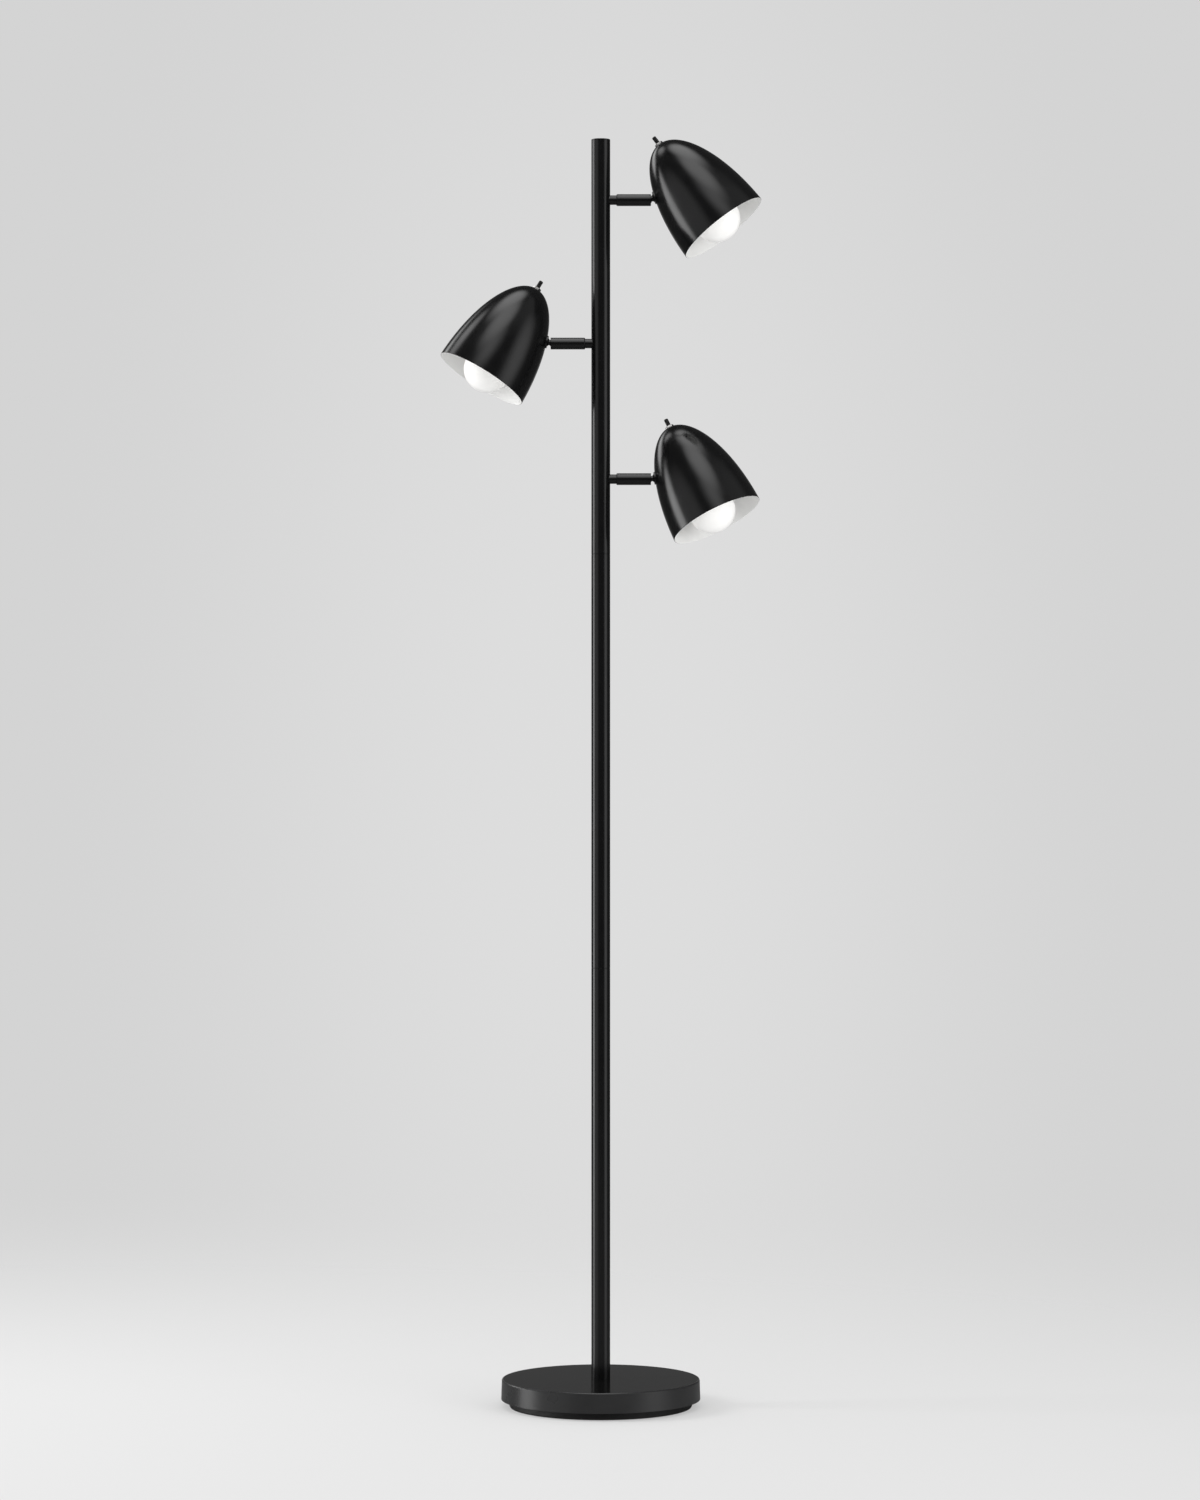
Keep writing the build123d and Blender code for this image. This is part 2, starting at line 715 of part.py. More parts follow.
def bulb_outline(inset):
    """Half outline of the bulb's glass, moved in by inset: round end, then a neck."""
    radius = bulb_radius - inset
    shoulder = radians(bulb_shoulder_angle)
    tip = (0, bulb_centre - radius)
    widest = (radius, bulb_centre)
    shoulder_point = (radius * cos(shoulder), bulb_centre + radius * sin(shoulder))
    neck = (bulb_neck_radius - inset, bulb_cap_start)
    neck_end = (bulb_neck_radius - inset, bulb_neck_end)
    RadiusArc(tip, widest, radius)
    ThreePointArc(
        widest,
        (radius * cos(shoulder / 2), bulb_centre + radius * sin(shoulder / 2)),
        shoulder_point,
    )
    Spline(shoulder_point, neck, tangents=((-sin(shoulder), cos(shoulder)), (0, 1)))
    Polyline(neck, neck_end, (0, bulb_neck_end), tip)


for head in heads:
    section = shade_section(head)
    axis = axis_of(section)

    with BuildPart() as shade:
        for inset, mode in ((0, Mode.ADD), (shade_wall, Mode.SUBTRACT)):
            with BuildSketch(section):
                with BuildLine():
                    ellipse_centre = (0, -shade_widest_beyond_mouth)
                    EllipticalCenterArc(
                        ellipse_centre,
                        shade_short_radius - inset,
                        shade_long_radius - inset,
                        arc_size=quarter_turn,
                    )
                    Polyline(
                        (0, shade_length - inset),
                        ellipse_centre,
                        (shade_short_radius - inset, -shade_widest_beyond_mouth),
                    )
                make_face()
            revolve(axis=axis, mode=mode)
        with BuildSketch(square_to(section, 0)):
            Circle(shade_short_radius + shade_wall)
        extrude(amount=-shade_widest_beyond_mouth - shade_wall, mode=Mode.SUBTRACT)
        with BuildSketch(square_to(section, housing_top)):
            Circle(crown_hole_radius)
        extrude(amount=shade_length, mode=Mode.SUBTRACT)
        with BuildSketch(square_to(stud_section(head), 0)):
            Circle(stud_hole_radius)
        extrude(amount=stud_end, mode=Mode.SUBTRACT)
    finish(shade.part, f"shade_{head.name}")

    with BuildPart() as switch_bushing:
        with BuildSketch(section):
            with BuildLine():
                Polyline(
                    (switch_bore_radius, housing_top),
                    (switch_flange_radius, housing_top),
                    (switch_flange_radius, housing_top + switch_flange_thickness),
                    (switch_shoulder_radius, housing_top + switch_flange_thickness),
                    (switch_shoulder_radius, shoulder_top),
                    (switch_thread_radius, shoulder_top),
                    (switch_thread_radius, switch_nut_top),
                    (switch_bore_radius, switch_nut_top),
                    close=True,
                )
            make_face()
        revolve(axis=axis)
    finish(switch_bushing.part, f"switch_bushing_{head.name}")

    with BuildPart() as switch_nut:
        with BuildSketch(square_to(section, switch_nut_base)):
            RegularPolygon(hexagon_radius(switch_nut_across_flats), hexagon_sides)
        extrude(amount=switch_nut_height)
        chamfer(switch_nut.faces().sort_by(axis)[-1].edges(), switch_nut_chamfer)
        with BuildSketch(square_to(section, switch_nut_base)):
            Circle(switch_thread_radius + fixed_fit)
        extrude(amount=switch_nut_height, mode=Mode.SUBTRACT)
    finish(switch_nut.part, f"switch_nut_{head.name}")

    with BuildPart() as switch_knob:
        with BuildSketch(square_to(section, knob_base)):
            Circle(knob_radius)
        extrude(amount=knob_length)
        fillet(switch_knob.faces().sort_by(axis)[-1].edges(), knob_rounding)
        with BuildSketch(square_to(section, knob_base)):
            with PolarLocations(knob_radius, knob_flutes):
                Circle(knob_flute_radius)
        extrude(amount=knob_length - knob_rounding, mode=Mode.SUBTRACT)
        with BuildSketch(square_to(section, knob_base)):
            Circle(knob_shaft_radius)
        extrude(amount=-knob_shaft_length)
    finish(switch_knob.part, f"switch_knob_{head.name}")

    with BuildPart() as socket_body:
        with BuildSketch(section):
            with BuildLine():
                Polyline(
                    (0, socket_floor),
                    (shell_outer_radius + fixed_fit, socket_floor),
                    (shell_outer_radius + fixed_fit, socket_mouth),
                    (socket_radius, socket_mouth),
                    (socket_radius, socket_top),
                    (switch_housing_radius, socket_top),
                    (switch_housing_radius, housing_top),
                    (knob_shaft_radius + hole_clearance, housing_top),
                    (knob_shaft_radius + hole_clearance, knob_base - knob_shaft_length - knob_gap),
                    (0, knob_base - knob_shaft_length - knob_gap),
                    close=True,
                )
            make_face()
        revolve(axis=axis)
        rims = socket_body.edges().filter_by(GeomType.CIRCLE).group_by(SortBy.RADIUS)[-1]
        fillet(rims, socket_edge_rounding)
        lead_entry = Plane(
            origin=section.from_local_coords(Vector(*lead_route[-1])),
            z_dir=section.x_dir * (lead_route[-2][0] - lead_route[-1][0])
            + section.y_dir * (lead_route[-2][1] - lead_route[-1][1]),
        )
        with BuildSketch(lead_entry.offset(-fixed_fit)):
            Circle(lead_radius + hole_clearance)
        extrude(amount=switch_housing_radius, mode=Mode.SUBTRACT)
    finish(socket_body.part, f"socket_body_{head.name}")

    with BuildPart() as socket_shell:
        with BuildSketch(section):
            with BuildLine():
                Polyline(
                    (shell_inner_radius, shell_start),
                    (shell_outer_radius, shell_start),
                    (shell_outer_radius, socket_floor),
                    (shell_outer_radius - socket_shell_turn_in, socket_floor),
                    (shell_outer_radius - socket_shell_turn_in, socket_floor - socket_shell_wall),
                    (shell_inner_radius, socket_floor - socket_shell_wall),
                    close=True,
                )
            make_face()
        revolve(axis=axis)
    finish(socket_shell.part, f"socket_shell_{head.name}")

    with BuildPart() as bulb_glass:
        for inset, mode in ((0, Mode.ADD), (bulb_glass_wall, Mode.SUBTRACT)):
            with BuildSketch(section):
                with BuildLine():
                    bulb_outline(inset)
                make_face()
            revolve(axis=axis, mode=mode)
    finish(bulb_glass.part, f"bulb_glass_{head.name}")

    with BuildPart() as bulb_cap:
        with BuildSketch(section):
            with BuildLine():
                Polyline(
                    (bulb_cap_radius - bulb_cap_wall, bulb_cap_start),
                    (bulb_cap_radius, bulb_cap_start),
                    (bulb_cap_radius, bulb_end - bulb_cap_taper_length),
                    (bulb_contact_radius, bulb_end - bulb_contact_height),
                    (bulb_contact_radius, bulb_end),
                    (0, bulb_end),
                    (0, bulb_neck_end),
                    (bulb_cap_radius - bulb_cap_wall, bulb_neck_end),
                    close=True,
                )
            make_face()
        revolve(axis=axis)
    finish(bulb_cap.part, f"bulb_cap_{head.name}")

# ======== Wiring ========
wire_start = (0, terminal_distance, wire_run_height)
upper_head = heads[0]
riser_top = arm_height(upper_head) - 2 * wire_bend_radius
with BuildPart() as pole_wiring:
    with BuildLine():
        FilletPolyline(
            wire_start,
            (0, 0, wire_run_height),
            (0, 0, riser_top),
            radius=wire_bend_radius,
        )
    with BuildSketch(Plane(origin=wire_start, z_dir=(0, -1, 0))):
        Circle(riser_radius)
    sweep()
    for head in heads:
        branch_start = (0, 0, arm_height(head) - 3 * wire_bend_radius)
        with BuildLine() as branch:
            FilletPolyline(
                branch_start,
                (0, 0, arm_height(head)),
                (head.side * arm_lead_end, 0, arm_height(head)),
                radius=wire_bend_radius,
            )
        with BuildSketch(Plane(origin=branch_start, z_dir=(0, 0, 1))):
            Circle(lead_radius)
        sweep(path=branch.wires()[0])
finish(pole_wiring.part, "pole_wiring")

for head in heads:
    with BuildPart() as head_lead:
        with BuildLine(shade_section(head)) as route:
            FilletPolyline(*lead_route, radius=lead_bends)
        with BuildSketch(Plane(origin=route.wires()[0] @ 0, z_dir=route.wires()[0] % 0)):
            Circle(lead_radius)
        sweep(path=route.wires()[0])
    finish(head_lead.part, f"head_lead_{head.name}")
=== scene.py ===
import json
from types import SimpleNamespace

import bpy
import numpy as np
from bpy.props import FloatProperty, FloatVectorProperty, IntProperty, PointerProperty
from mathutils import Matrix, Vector


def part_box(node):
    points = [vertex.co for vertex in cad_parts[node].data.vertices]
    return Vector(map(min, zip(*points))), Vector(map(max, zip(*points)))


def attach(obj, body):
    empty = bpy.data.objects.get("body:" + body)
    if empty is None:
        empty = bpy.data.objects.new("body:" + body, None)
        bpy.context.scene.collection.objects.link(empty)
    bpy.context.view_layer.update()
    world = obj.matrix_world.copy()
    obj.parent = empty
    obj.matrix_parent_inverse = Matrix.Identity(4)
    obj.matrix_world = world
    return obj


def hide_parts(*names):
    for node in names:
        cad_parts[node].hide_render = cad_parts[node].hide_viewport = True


bl_info = {
    "name": "Tree Floor Lamp",
    "version": (1, 0, 0),
    "blender": (4, 5, 0),
    "location": "View3D > Sidebar > Floor Lamp",
    "description": "Dresses a black floor lamp with three bell-shaped shades and lights its studio",
    "category": "Object",
}

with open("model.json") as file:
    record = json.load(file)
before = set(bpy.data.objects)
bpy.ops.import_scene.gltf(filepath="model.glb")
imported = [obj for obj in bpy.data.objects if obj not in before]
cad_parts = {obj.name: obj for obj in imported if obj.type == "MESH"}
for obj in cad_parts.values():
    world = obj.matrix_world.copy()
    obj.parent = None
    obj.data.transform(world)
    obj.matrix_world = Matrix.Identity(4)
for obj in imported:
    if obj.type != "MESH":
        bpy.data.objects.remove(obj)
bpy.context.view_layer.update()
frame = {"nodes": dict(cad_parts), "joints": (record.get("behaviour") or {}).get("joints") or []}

HEADS = ("upper", "middle", "lower")
JOINTS = {joint["name"]: joint for joint in frame["joints"]}

FIT = 0.00005  # Clearance between pieces that sit on or round each other
SAME = 1e-8  # Points nearer than this are one point
TINY = 1e-12  # Keeps a division by nothing from failing


# ---- Settings ----
def length(name, description, default):
    """A size in metres."""
    return FloatProperty(
        name=name, description=description, default=default, min=0.0, precision=5, unit="LENGTH"
    )


def share(name, description, default):
    """A number from 0 to 1."""
    return FloatProperty(
        name=name, description=description, default=default, min=0.0, max=1.0, subtype="FACTOR"
    )


def colour(name, description, default):
    """A colour in linear light."""
    return FloatVectorProperty(
        name=name, description=description, default=default, size=3, min=0.0, max=1.0, subtype="COLOR"
    )


class LampSizes(bpy.types.PropertyGroup):
    """Sizes of the pieces that are drawn here."""

    shade_mouth: length("Shade mouth", "Radius of the shade's mouth", 0.0604)
    shade_length: length("Shade length", "Mouth plane to crown", 0.1368)
    shade_beyond: length("Widest place", "Mouth plane to the ellipse's middle, outside the shade", 0.0078)
    shade_wall: length("Shade wall", "Thickness of the spun sheet", 0.0008)
    shade_rim: length("Rim rounding", "Rounding of the shade's rim", 0.00034)
    crown_hole: length("Crown hole", "Radius of the hole for the switch", 0.0037)
    stud_hole: length("Stud hole", "Radius of the hole for the ball's stud", 0.0032)
    bushing_radius: length("Bushing radius", "Radius of the switch's threaded bushing", 0.0035)
    nut_flats: length("Switch nut", "Across the flats of the switch's nut", 0.01)
    nut_height: length("Switch nut height", "Height of the switch's nut", 0.0023)
    knob_radius: length("Knob radius", "Radius of the switch's knob", 0.0027)
    knob_length: length("Knob length", "Length of the switch's knob", 0.0098)
    knob_rounding: length("Knob rounding", "Rounding of the knob's end", 0.001)
    knob_flutes: IntProperty(name="Knob flutes", description="Grip grooves round the knob", default=12, min=3)
    flute_radius: length("Flute radius", "Radius of each grip groove", 0.00035)
    base_taper: length("Base taper", "How much narrower the base is at its top", 0.0008)
    base_wall: length("Base wall", "Thickness of the base's cover", 0.0012)
    base_rounding: length("Base rounding", "Rounding of the base's top edge", 0.002)
    pole_hole: length("Pole hole", "Radius of the hole for the pole", 0.0122)
    inlet_hole: length("Inlet hole", "Radius of the hole for the cord's bushing", 0.005)
    sleeve_bore: length("Sleeve bore", "Radius of the sleeve's hole for the nipple", 0.00605)
    sleeve_mouth: length("Sleeve mouth", "Radius of the sleeve's hole at its outer end", 0.0063)
    sleeve_rounding: length("Sleeve rounding", "Rounding of the sleeve's end at the pole", 0.0012)
    ball_radius: length("Ball radius", "Radius of the joint's ball", 0.006)
    neck_radius: length("Neck radius", "Radius of the stud's neck", 0.0035)
    neck_end: length("Neck end", "Ball's middle to the shoulder where the stud's neck ends", 0.0083)
    thread_radius: length("Thread radius", "Radius of the stud's threaded end", 0.003)
    stud_length: length("Stud length", "Ball's middle to the stud's threaded end", 0.0183)
    collar_start: length("Collar start", "Ball's middle to the collar's small end", 0.007)
    collar_radius: length("Collar radius", "Radius of the collar's flange on the shade", 0.008)
    bulb_depth: length("Bulb depth", "Mouth plane to the middle of the bulb's round end", 0.0149)
    bulb_radius: length("Bulb radius", "Radius of the bulb's round end", 0.03)
    bulb_neck: length("Bulb neck", "Radius of the bulb's neck", 0.0123)


class LampFinishes(bpy.types.PropertyGroup):
    """Colours and gloss of the finishes."""

    paint: colour("Pole paint", "Black paint on the pole and arms", (0.0045, 0.0045, 0.0047))
    shade_paint: colour("Shade paint", "Black paint outside the shades", (0.0045, 0.0045, 0.0047))
    # The base's side enamel is made lighter than the pole's black as painted sheen. Its top is made darker as
    # painted shade. Both are copies of the cover's one black paint.
    base_side_painted_sheen: colour("Base enamel", "Black enamel on the base's side", (0.021, 0.021, 0.0215))
    base_top_painted_shade: colour("Base top", "Flatted black enamel on the base's top", (0.005, 0.005, 0.005))
    lining: colour("Lining", "White enamel inside the shades", (0.9, 0.9, 0.89))
    bulb: colour("Bulb", "Frosted bulb", (0.93, 0.925, 0.91))
    bulb_glow: share("Bulb glow", "Light that the bulb's frosting gives off", 0.14)
    nickel: colour("Nickel", "Plating on the switch nut", (0.62, 0.61, 0.6))
    knob: colour("Knob", "Switch knob plastic", (0.008, 0.008, 0.008))
    pole_gloss: share("Pole roughness", "Roughness of the pole's paint", 0.18)
    shade_gloss: share("Shade roughness", "Roughness of the shades' paint", 0.2)
    base_gloss: share("Base roughness", "Roughness of the enamel on the base's side", 0.3)
    base_top_gloss: share("Base top roughness", "Roughness of the enamel on the base's top", 0.12)


class LampStage(bpy.types.PropertyGroup):
    """Camera, floor, backdrop and even light."""

    camera_place: FloatVectorProperty(
        name="Camera",
        description="Place of the camera",
        default=(-0.001, -5.423, 0.837),
        size=3,
        unit="LENGTH",
    )
    camera_lens: FloatProperty(name="Lens", description="Focal length in mm on a 36 mm side", default=102.0)
    wall: share("Wall", "Brightness of the backdrop in the middle of the picture", 0.725)
    wall_edge: share("Wall edge", "Brightness of the backdrop at the picture's sides", 0.658)
    wall_in_gloss: share("Wall in gloss", "Brightness of the backdrop as gloss shows it", 0.3)
    floor: share("Floor", "Brightness of the floor round the base", 0.762)
    floor_shadow: share("Floor shadow", "Share of the floor's brightness that shadows take away", 0.5)
    floor_in_gloss: share("Floor in gloss", "Share of the floor that gloss shows", 0.42)
    studio: share("Studio", "Brightness of the dark studio in front, as gloss shows it", 0.05)
    ambient: share("Ambient", "Even light from all round", 0.78)


# ---- Meshes ----
def softened(corners, roundings, closed=True, steps=7):
    """Profile with rounded corners.

    Each corner is replaced by a circular arc that touches both runs, drawn as the rational
    quadratic curve ((1-u)^2 start + 2 u (1-u) w corner + u^2 end) / ((1-u)^2 + 2 u (1-u) w + u^2),
    where w is the sine of half the corner's angle. A point a quarter rounding before and after
    the arc keeps the runs flat.
    """
    corners = np.asarray(corners, float)
    roundings = np.broadcast_to(np.asarray(roundings, float), len(corners)).copy()
    if not closed:
        roundings[[0, -1]] = 0.0
    before = np.roll(corners, 1, axis=0) - corners
    after = np.roll(corners, -1, axis=0) - corners
    before /= np.maximum(np.linalg.norm(before, axis=1, keepdims=True), TINY)
    after /= np.maximum(np.linalg.norm(after, axis=1, keepdims=True), TINY)
    half = np.arccos(np.clip((before * after).sum(axis=1), -1.0, 1.0)) / 2
    reach = roundings / np.maximum(np.tan(half), TINY)
    start = corners + before * reach[:, None]
    end = corners + after * reach[:, None]
    u = np.linspace(0.0, 1.0, steps)[None, :, None]
    weight = np.sin(half)[:, None, None]
    parts = ((1 - u) ** 2, 2 * u * (1 - u) * weight, u**2)
    arcs = parts[0] * start[:, None] + parts[1] * corners[:, None] + parts[2] * end[:, None]
    arcs = arcs / (parts[0] + parts[1] + parts[2])
    margin = roundings[:, None] / 4
    first, last = start + before * margin, end + after * margin
    points = np.concatenate((first[:, None], arcs, last[:, None]), axis=1).reshape(-1, 2)
    step = np.linalg.norm(points - np.roll(points, 1, axis=0), axis=1)
    step[0] = step[0] if closed else 1.0
    return points[step > SAME]


def lathe(profile, place, columns=96, swell=None):
    """Grid of a profile turned about an axis.

    Point = origin + axis * station + radius * (across * cos(turn) + side * sin(turn)), with the
    turns evenly spaced and side = axis x across. swell(radius, station, turn) may change the radius.
    """
    turn = np.arange(columns) * 2 * np.pi / columns
    radius, station = np.broadcast_arrays(profile[:, 0, None], profile[:, 1, None])
    radius, station, turn = np.broadcast_arrays(radius, station, turn[None, :])
    if swell is not None:
        radius = swell(radius, station, turn)
    side = np.cross(place.axis, place.across)
    return (
        place.origin
        + station[..., None] * place.axis
        + (radius * np.cos(turn))[..., None] * place.across
        + (radius * np.sin(turn))[..., None] * side
    )


def skin(name, grid, finishes, loop=False, slots=None, crease=40.0):
    """Object whose mesh covers a grid of points, rows by columns, the columns joined all round.

    With loop, the last row joins the first. A row that has shrunk to a point becomes one vertex.
    finishes names the materials, and slots gives each band between two rows its place in them.
    Edges sharper than crease, in degrees, stay sharp.
    """
    rows, columns = grid.shape[:2]
    number = np.arange(rows * columns).reshape(rows, columns)
    shrunk = np.ptp(grid, axis=1).max(axis=1) < SAME
    number = np.where(shrunk[:, None], number[:, :1], number)
    lower = number if loop else number[:-1]
    upper = np.roll(number, -1, axis=0) if loop else number[1:]
    quads = np.stack((lower, np.roll(lower, -1, axis=1), np.roll(upper, -1, axis=1), upper), axis=-1)
    band = np.broadcast_to(np.arange(len(lower))[:, None], lower.shape).reshape(-1)
    quads = quads.reshape(-1, 4)
    at_start = quads[:, 0] == quads[:, 1]
    at_end = quads[:, 2] == quads[:, 3]
    whole = ~(at_start | at_end)
    faces = [quads[whole], quads[at_start][:, [0, 2, 3]], quads[at_end][:, [0, 1, 2]]]
    bands = np.concatenate((band[whole], band[at_start], band[at_end]))
    used, order = np.unique(np.concatenate([face.reshape(-1) for face in faces]), return_inverse=True)
    sizes = np.concatenate([np.full(len(face), face.shape[1]) for face in faces])
    mesh = bpy.data.meshes.new(name)
    for each in finishes:
        mesh.materials.append(bpy.data.materials[each])
    mesh.vertices.add(len(used))
    mesh.vertices.foreach_set("co", grid.reshape(-1, 3)[used].astype(np.float32).reshape(-1))
    mesh.loops.add(len(order))
    mesh.loops.foreach_set("vertex_index", order.astype(np.int32))
    mesh.polygons.add(len(sizes))
    mesh.polygons.foreach_set("loop_start", (np.cumsum(sizes) - sizes).astype(np.int32))
    if slots is not None:
        mesh.polygons.foreach_set("material_index", np.asarray(slots, np.int32)[bands])
    mesh.update(calc_edges=True)
    mesh.validate()
    mesh.shade_smooth()
    mesh.set_sharp_from_angle(angle=np.radians(crease))
    made = bpy.data.objects.new(name, mesh)
    bpy.context.scene.collection.objects.link(made)
    return made


def rod(radius, start, end):
    """Profile of a plain rod between two stations."""
    return np.array(((0.0, start), (radius, start), (radius, end), (0.0, end)))


def pierced(piece, cutter):
    """Takes the cutter's space out of a piece, keeps the result as its mesh and drops the cutter."""
    cut = piece.modifiers.new("Hole", "BOOLEAN")
    cut.operation = "DIFFERENCE"
    cut.solver = "EXACT"
    cut.object = cutter
    shaped = piece.evaluated_get(bpy.context.evaluated_depsgraph_get())
    mesh = bpy.data.meshes.new_from_object(shaped)
    piece.modifiers.clear()
    before = piece.data
    piece.data = mesh
    mesh.name = piece.name
    bpy.data.meshes.remove(before)
    bpy.data.objects.remove(cutter)


def settle(piece, body, slot, *nodes):
    """Gives a finished piece its body and hides the CAD nodes it stands for; the slot is not used."""
    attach(piece, body)
    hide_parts(*nodes)


def dress(finish, *nodes):
    """Gives CAD nodes a finish."""
    for node in nodes:
        for slot in frame["nodes"][node].material_slots:
            slot.material = bpy.data.materials[finish]


# ---- Places ----
UPRIGHT = SimpleNamespace(
    origin=np.zeros(3), axis=np.array((0.0, 0.0, 1.0)), across=np.array((1.0, 0.0, 0.0))
)


def unit(vector):
    """A vector made one long."""
    return vector / np.linalg.norm(vector)


def head_places(name, sizes):
    """Where a head's pieces stand, from the frame: along its arm, its stud and its shade.

    The shade's origin is the middle of its mouth. It lies behind the knob by the crown's height
    where the nut sits on it, the nut's height and the gap under the knob.
    """
    knob_gap = 0.0003
    ball = np.array(JOINTS[f"spin_{name}"]["pos_m"])
    stud = unit(np.array(JOINTS[f"spin_{name}"]["axis"]))
    crown = unit(np.array(JOINTS[f"switch_{name}"]["axis"]))
    knob = np.array(JOINTS[f"switch_{name}"]["pos_m"])
    shade = SimpleNamespace(axis=crown)
    shade.nut_base = ellipse_station(sizes, sizes.bushing_radius) + FIT
    shade.knob_base = shade.nut_base + sizes.nut_height + knob_gap
    shade.origin = knob - crown * shade.knob_base
    towards_arm = ball - shade.origin
    shade.across = unit(towards_arm - crown * towards_arm.dot(crown))
    outwards = np.array((np.sign(ball[0]), 0.0, 0.0))
    arm = SimpleNamespace(origin=np.array((0.0, 0.0, ball[2])), axis=outwards, across=UPRIGHT.axis)
    joint = SimpleNamespace(origin=ball, axis=stud, across=unit(crown - stud * crown.dot(stud)))
    return SimpleNamespace(arm=arm, joint=joint, shade=shade)


def ellipse_radii(sizes, inset):
    """Short and long radius of the shade's ellipse, moved in by the inset.

    Long = length + beyond and short = mouth / square root of (1 - (beyond / long)^2), so that
    the ellipse has the mouth's radius in the mouth plane.
    """
    long = sizes.shade_length + sizes.shade_beyond
    short = sizes.shade_mouth / np.sqrt(1 - (sizes.shade_beyond / long) ** 2)
    return short - inset, long - inset


def ellipse_station(sizes, radius):
    """Station from the mouth plane where the shade's outside has this radius.

    Station = long * square root of (1 - (radius / short)^2) - beyond.
    """
    short, long = ellipse_radii(sizes, 0.0)
    return long * np.sqrt(1 - (radius / short) ** 2) - sizes.shade_beyond


def ellipse_profile(sizes, inset, count):
    """Quarter ellipse from the mouth plane to the crown's hole, as radius and station.

    Radius = short * cos(turn) and station = long * sin(turn) - beyond, with the turn evenly
    spaced from the mouth plane to the hole's edge.
    """
    short, long = ellipse_radii(sizes, inset)
    turn = np.linspace(np.arcsin(sizes.shade_beyond / long), np.arccos(sizes.crown_hole / short), count)
    return np.stack((short * np.cos(turn), long * np.sin(turn) - sizes.shade_beyond), axis=1)


def landed(points, place, shade, sizes, inset):
    """Points moved along a place's axis until they meet the shade's ellipse.

    In the shade's own directions, scaled so that the ellipse is a unit ball, the move s solves
    |p + s d|^2 = 1, and the nearer root is taken.
    """
    short, long = ellipse_radii(sizes, inset)
    middle = shade.origin - shade.axis * sizes.shade_beyond
    scale = np.array((1 / short, 1 / long, 1 / short))
    basis = np.stack((shade.across, shade.axis, np.cross(shade.axis, shade.across)), axis=1)
    p = (points - middle) @ basis * scale
    d = place.axis @ basis * scale
    b = (p * d).sum(axis=-1)
    a = (d * d).sum()
    c = (p * p).sum(axis=-1) - 1
    move = (-b - np.sqrt(b * b - a * c)) / a
    return points + move[..., None] * place.axis


# ---- Finishes ----
def add(tree, kind, inputs=None, **settings):
    """A new node. A socket's value is set, or linked where another node's output is given."""
    made = tree.nodes.new(kind)
    for name, value in settings.items():
        setattr(made, name, value)
    for name, value in (inputs or {}).items():
        if isinstance(value, bpy.types.NodeSocket):
            tree.links.new(value, made.inputs[name])
        else:
            made.inputs[name].default_value = value
    return made


def finish(name, tint, roughness, cloud=60.0, spread=0.15, ripple=500.0, height=2e-6, **sockets):
    """A procedural finish on Object coordinates.

    A fractal noise of scale cloud moves the colour between the tint and a darker one, and the
    roughness by the spread, both over the noise's middle range. A second noise of scale ripple
    lifts the surface by height metres.
    """
    material = bpy.data.materials.new(name)
    material.use_nodes = True
    tree = material.node_tree
    tree.nodes.clear()
    low, high = 0.3, 0.7
    place = add(tree, "ShaderNodeTexCoord").outputs["Object"]
    drift = add(tree, "ShaderNodeTexNoise", {"Vector": place, "Scale": cloud, "Detail": 4.0}).outputs["Fac"]
    waves = add(tree, "ShaderNodeTexNoise", {"Vector": place, "Scale": ripple, "Detail": 2.0}).outputs["Fac"]
    ramp = add(tree, "ShaderNodeValToRGB", {"Fac": drift})
    ramp.color_ramp.elements[0].position = low
    ramp.color_ramp.elements[1].position = high
    ramp.color_ramp.elements[0].color = (*(part * (1 - spread) for part in tint), 1.0)
    ramp.color_ramp.elements[1].color = (*tint, 1.0)
    gloss = add(
        tree,
        "ShaderNodeMapRange",
        {
            "Value": drift,
            "From Min": low,
            "From Max": high,
            "To Min": roughness * (1 - spread),
            "To Max": roughness * (1 + spread),
        },
    )
    bump = add(tree, "ShaderNodeBump", {"Height": waves, "Distance": height, "Strength": 1.0})
    surface = add(
        tree,
        "ShaderNodeBsdfPrincipled",
        {
            "Base Color": ramp.outputs["Color"],
            "Roughness": gloss.outputs["Result"],
            "Normal": bump.outputs["Normal"],
            **sockets,
        },
    )
    add(tree, "ShaderNodeOutputMaterial", {"Surface": surface.outputs["BSDF"]})


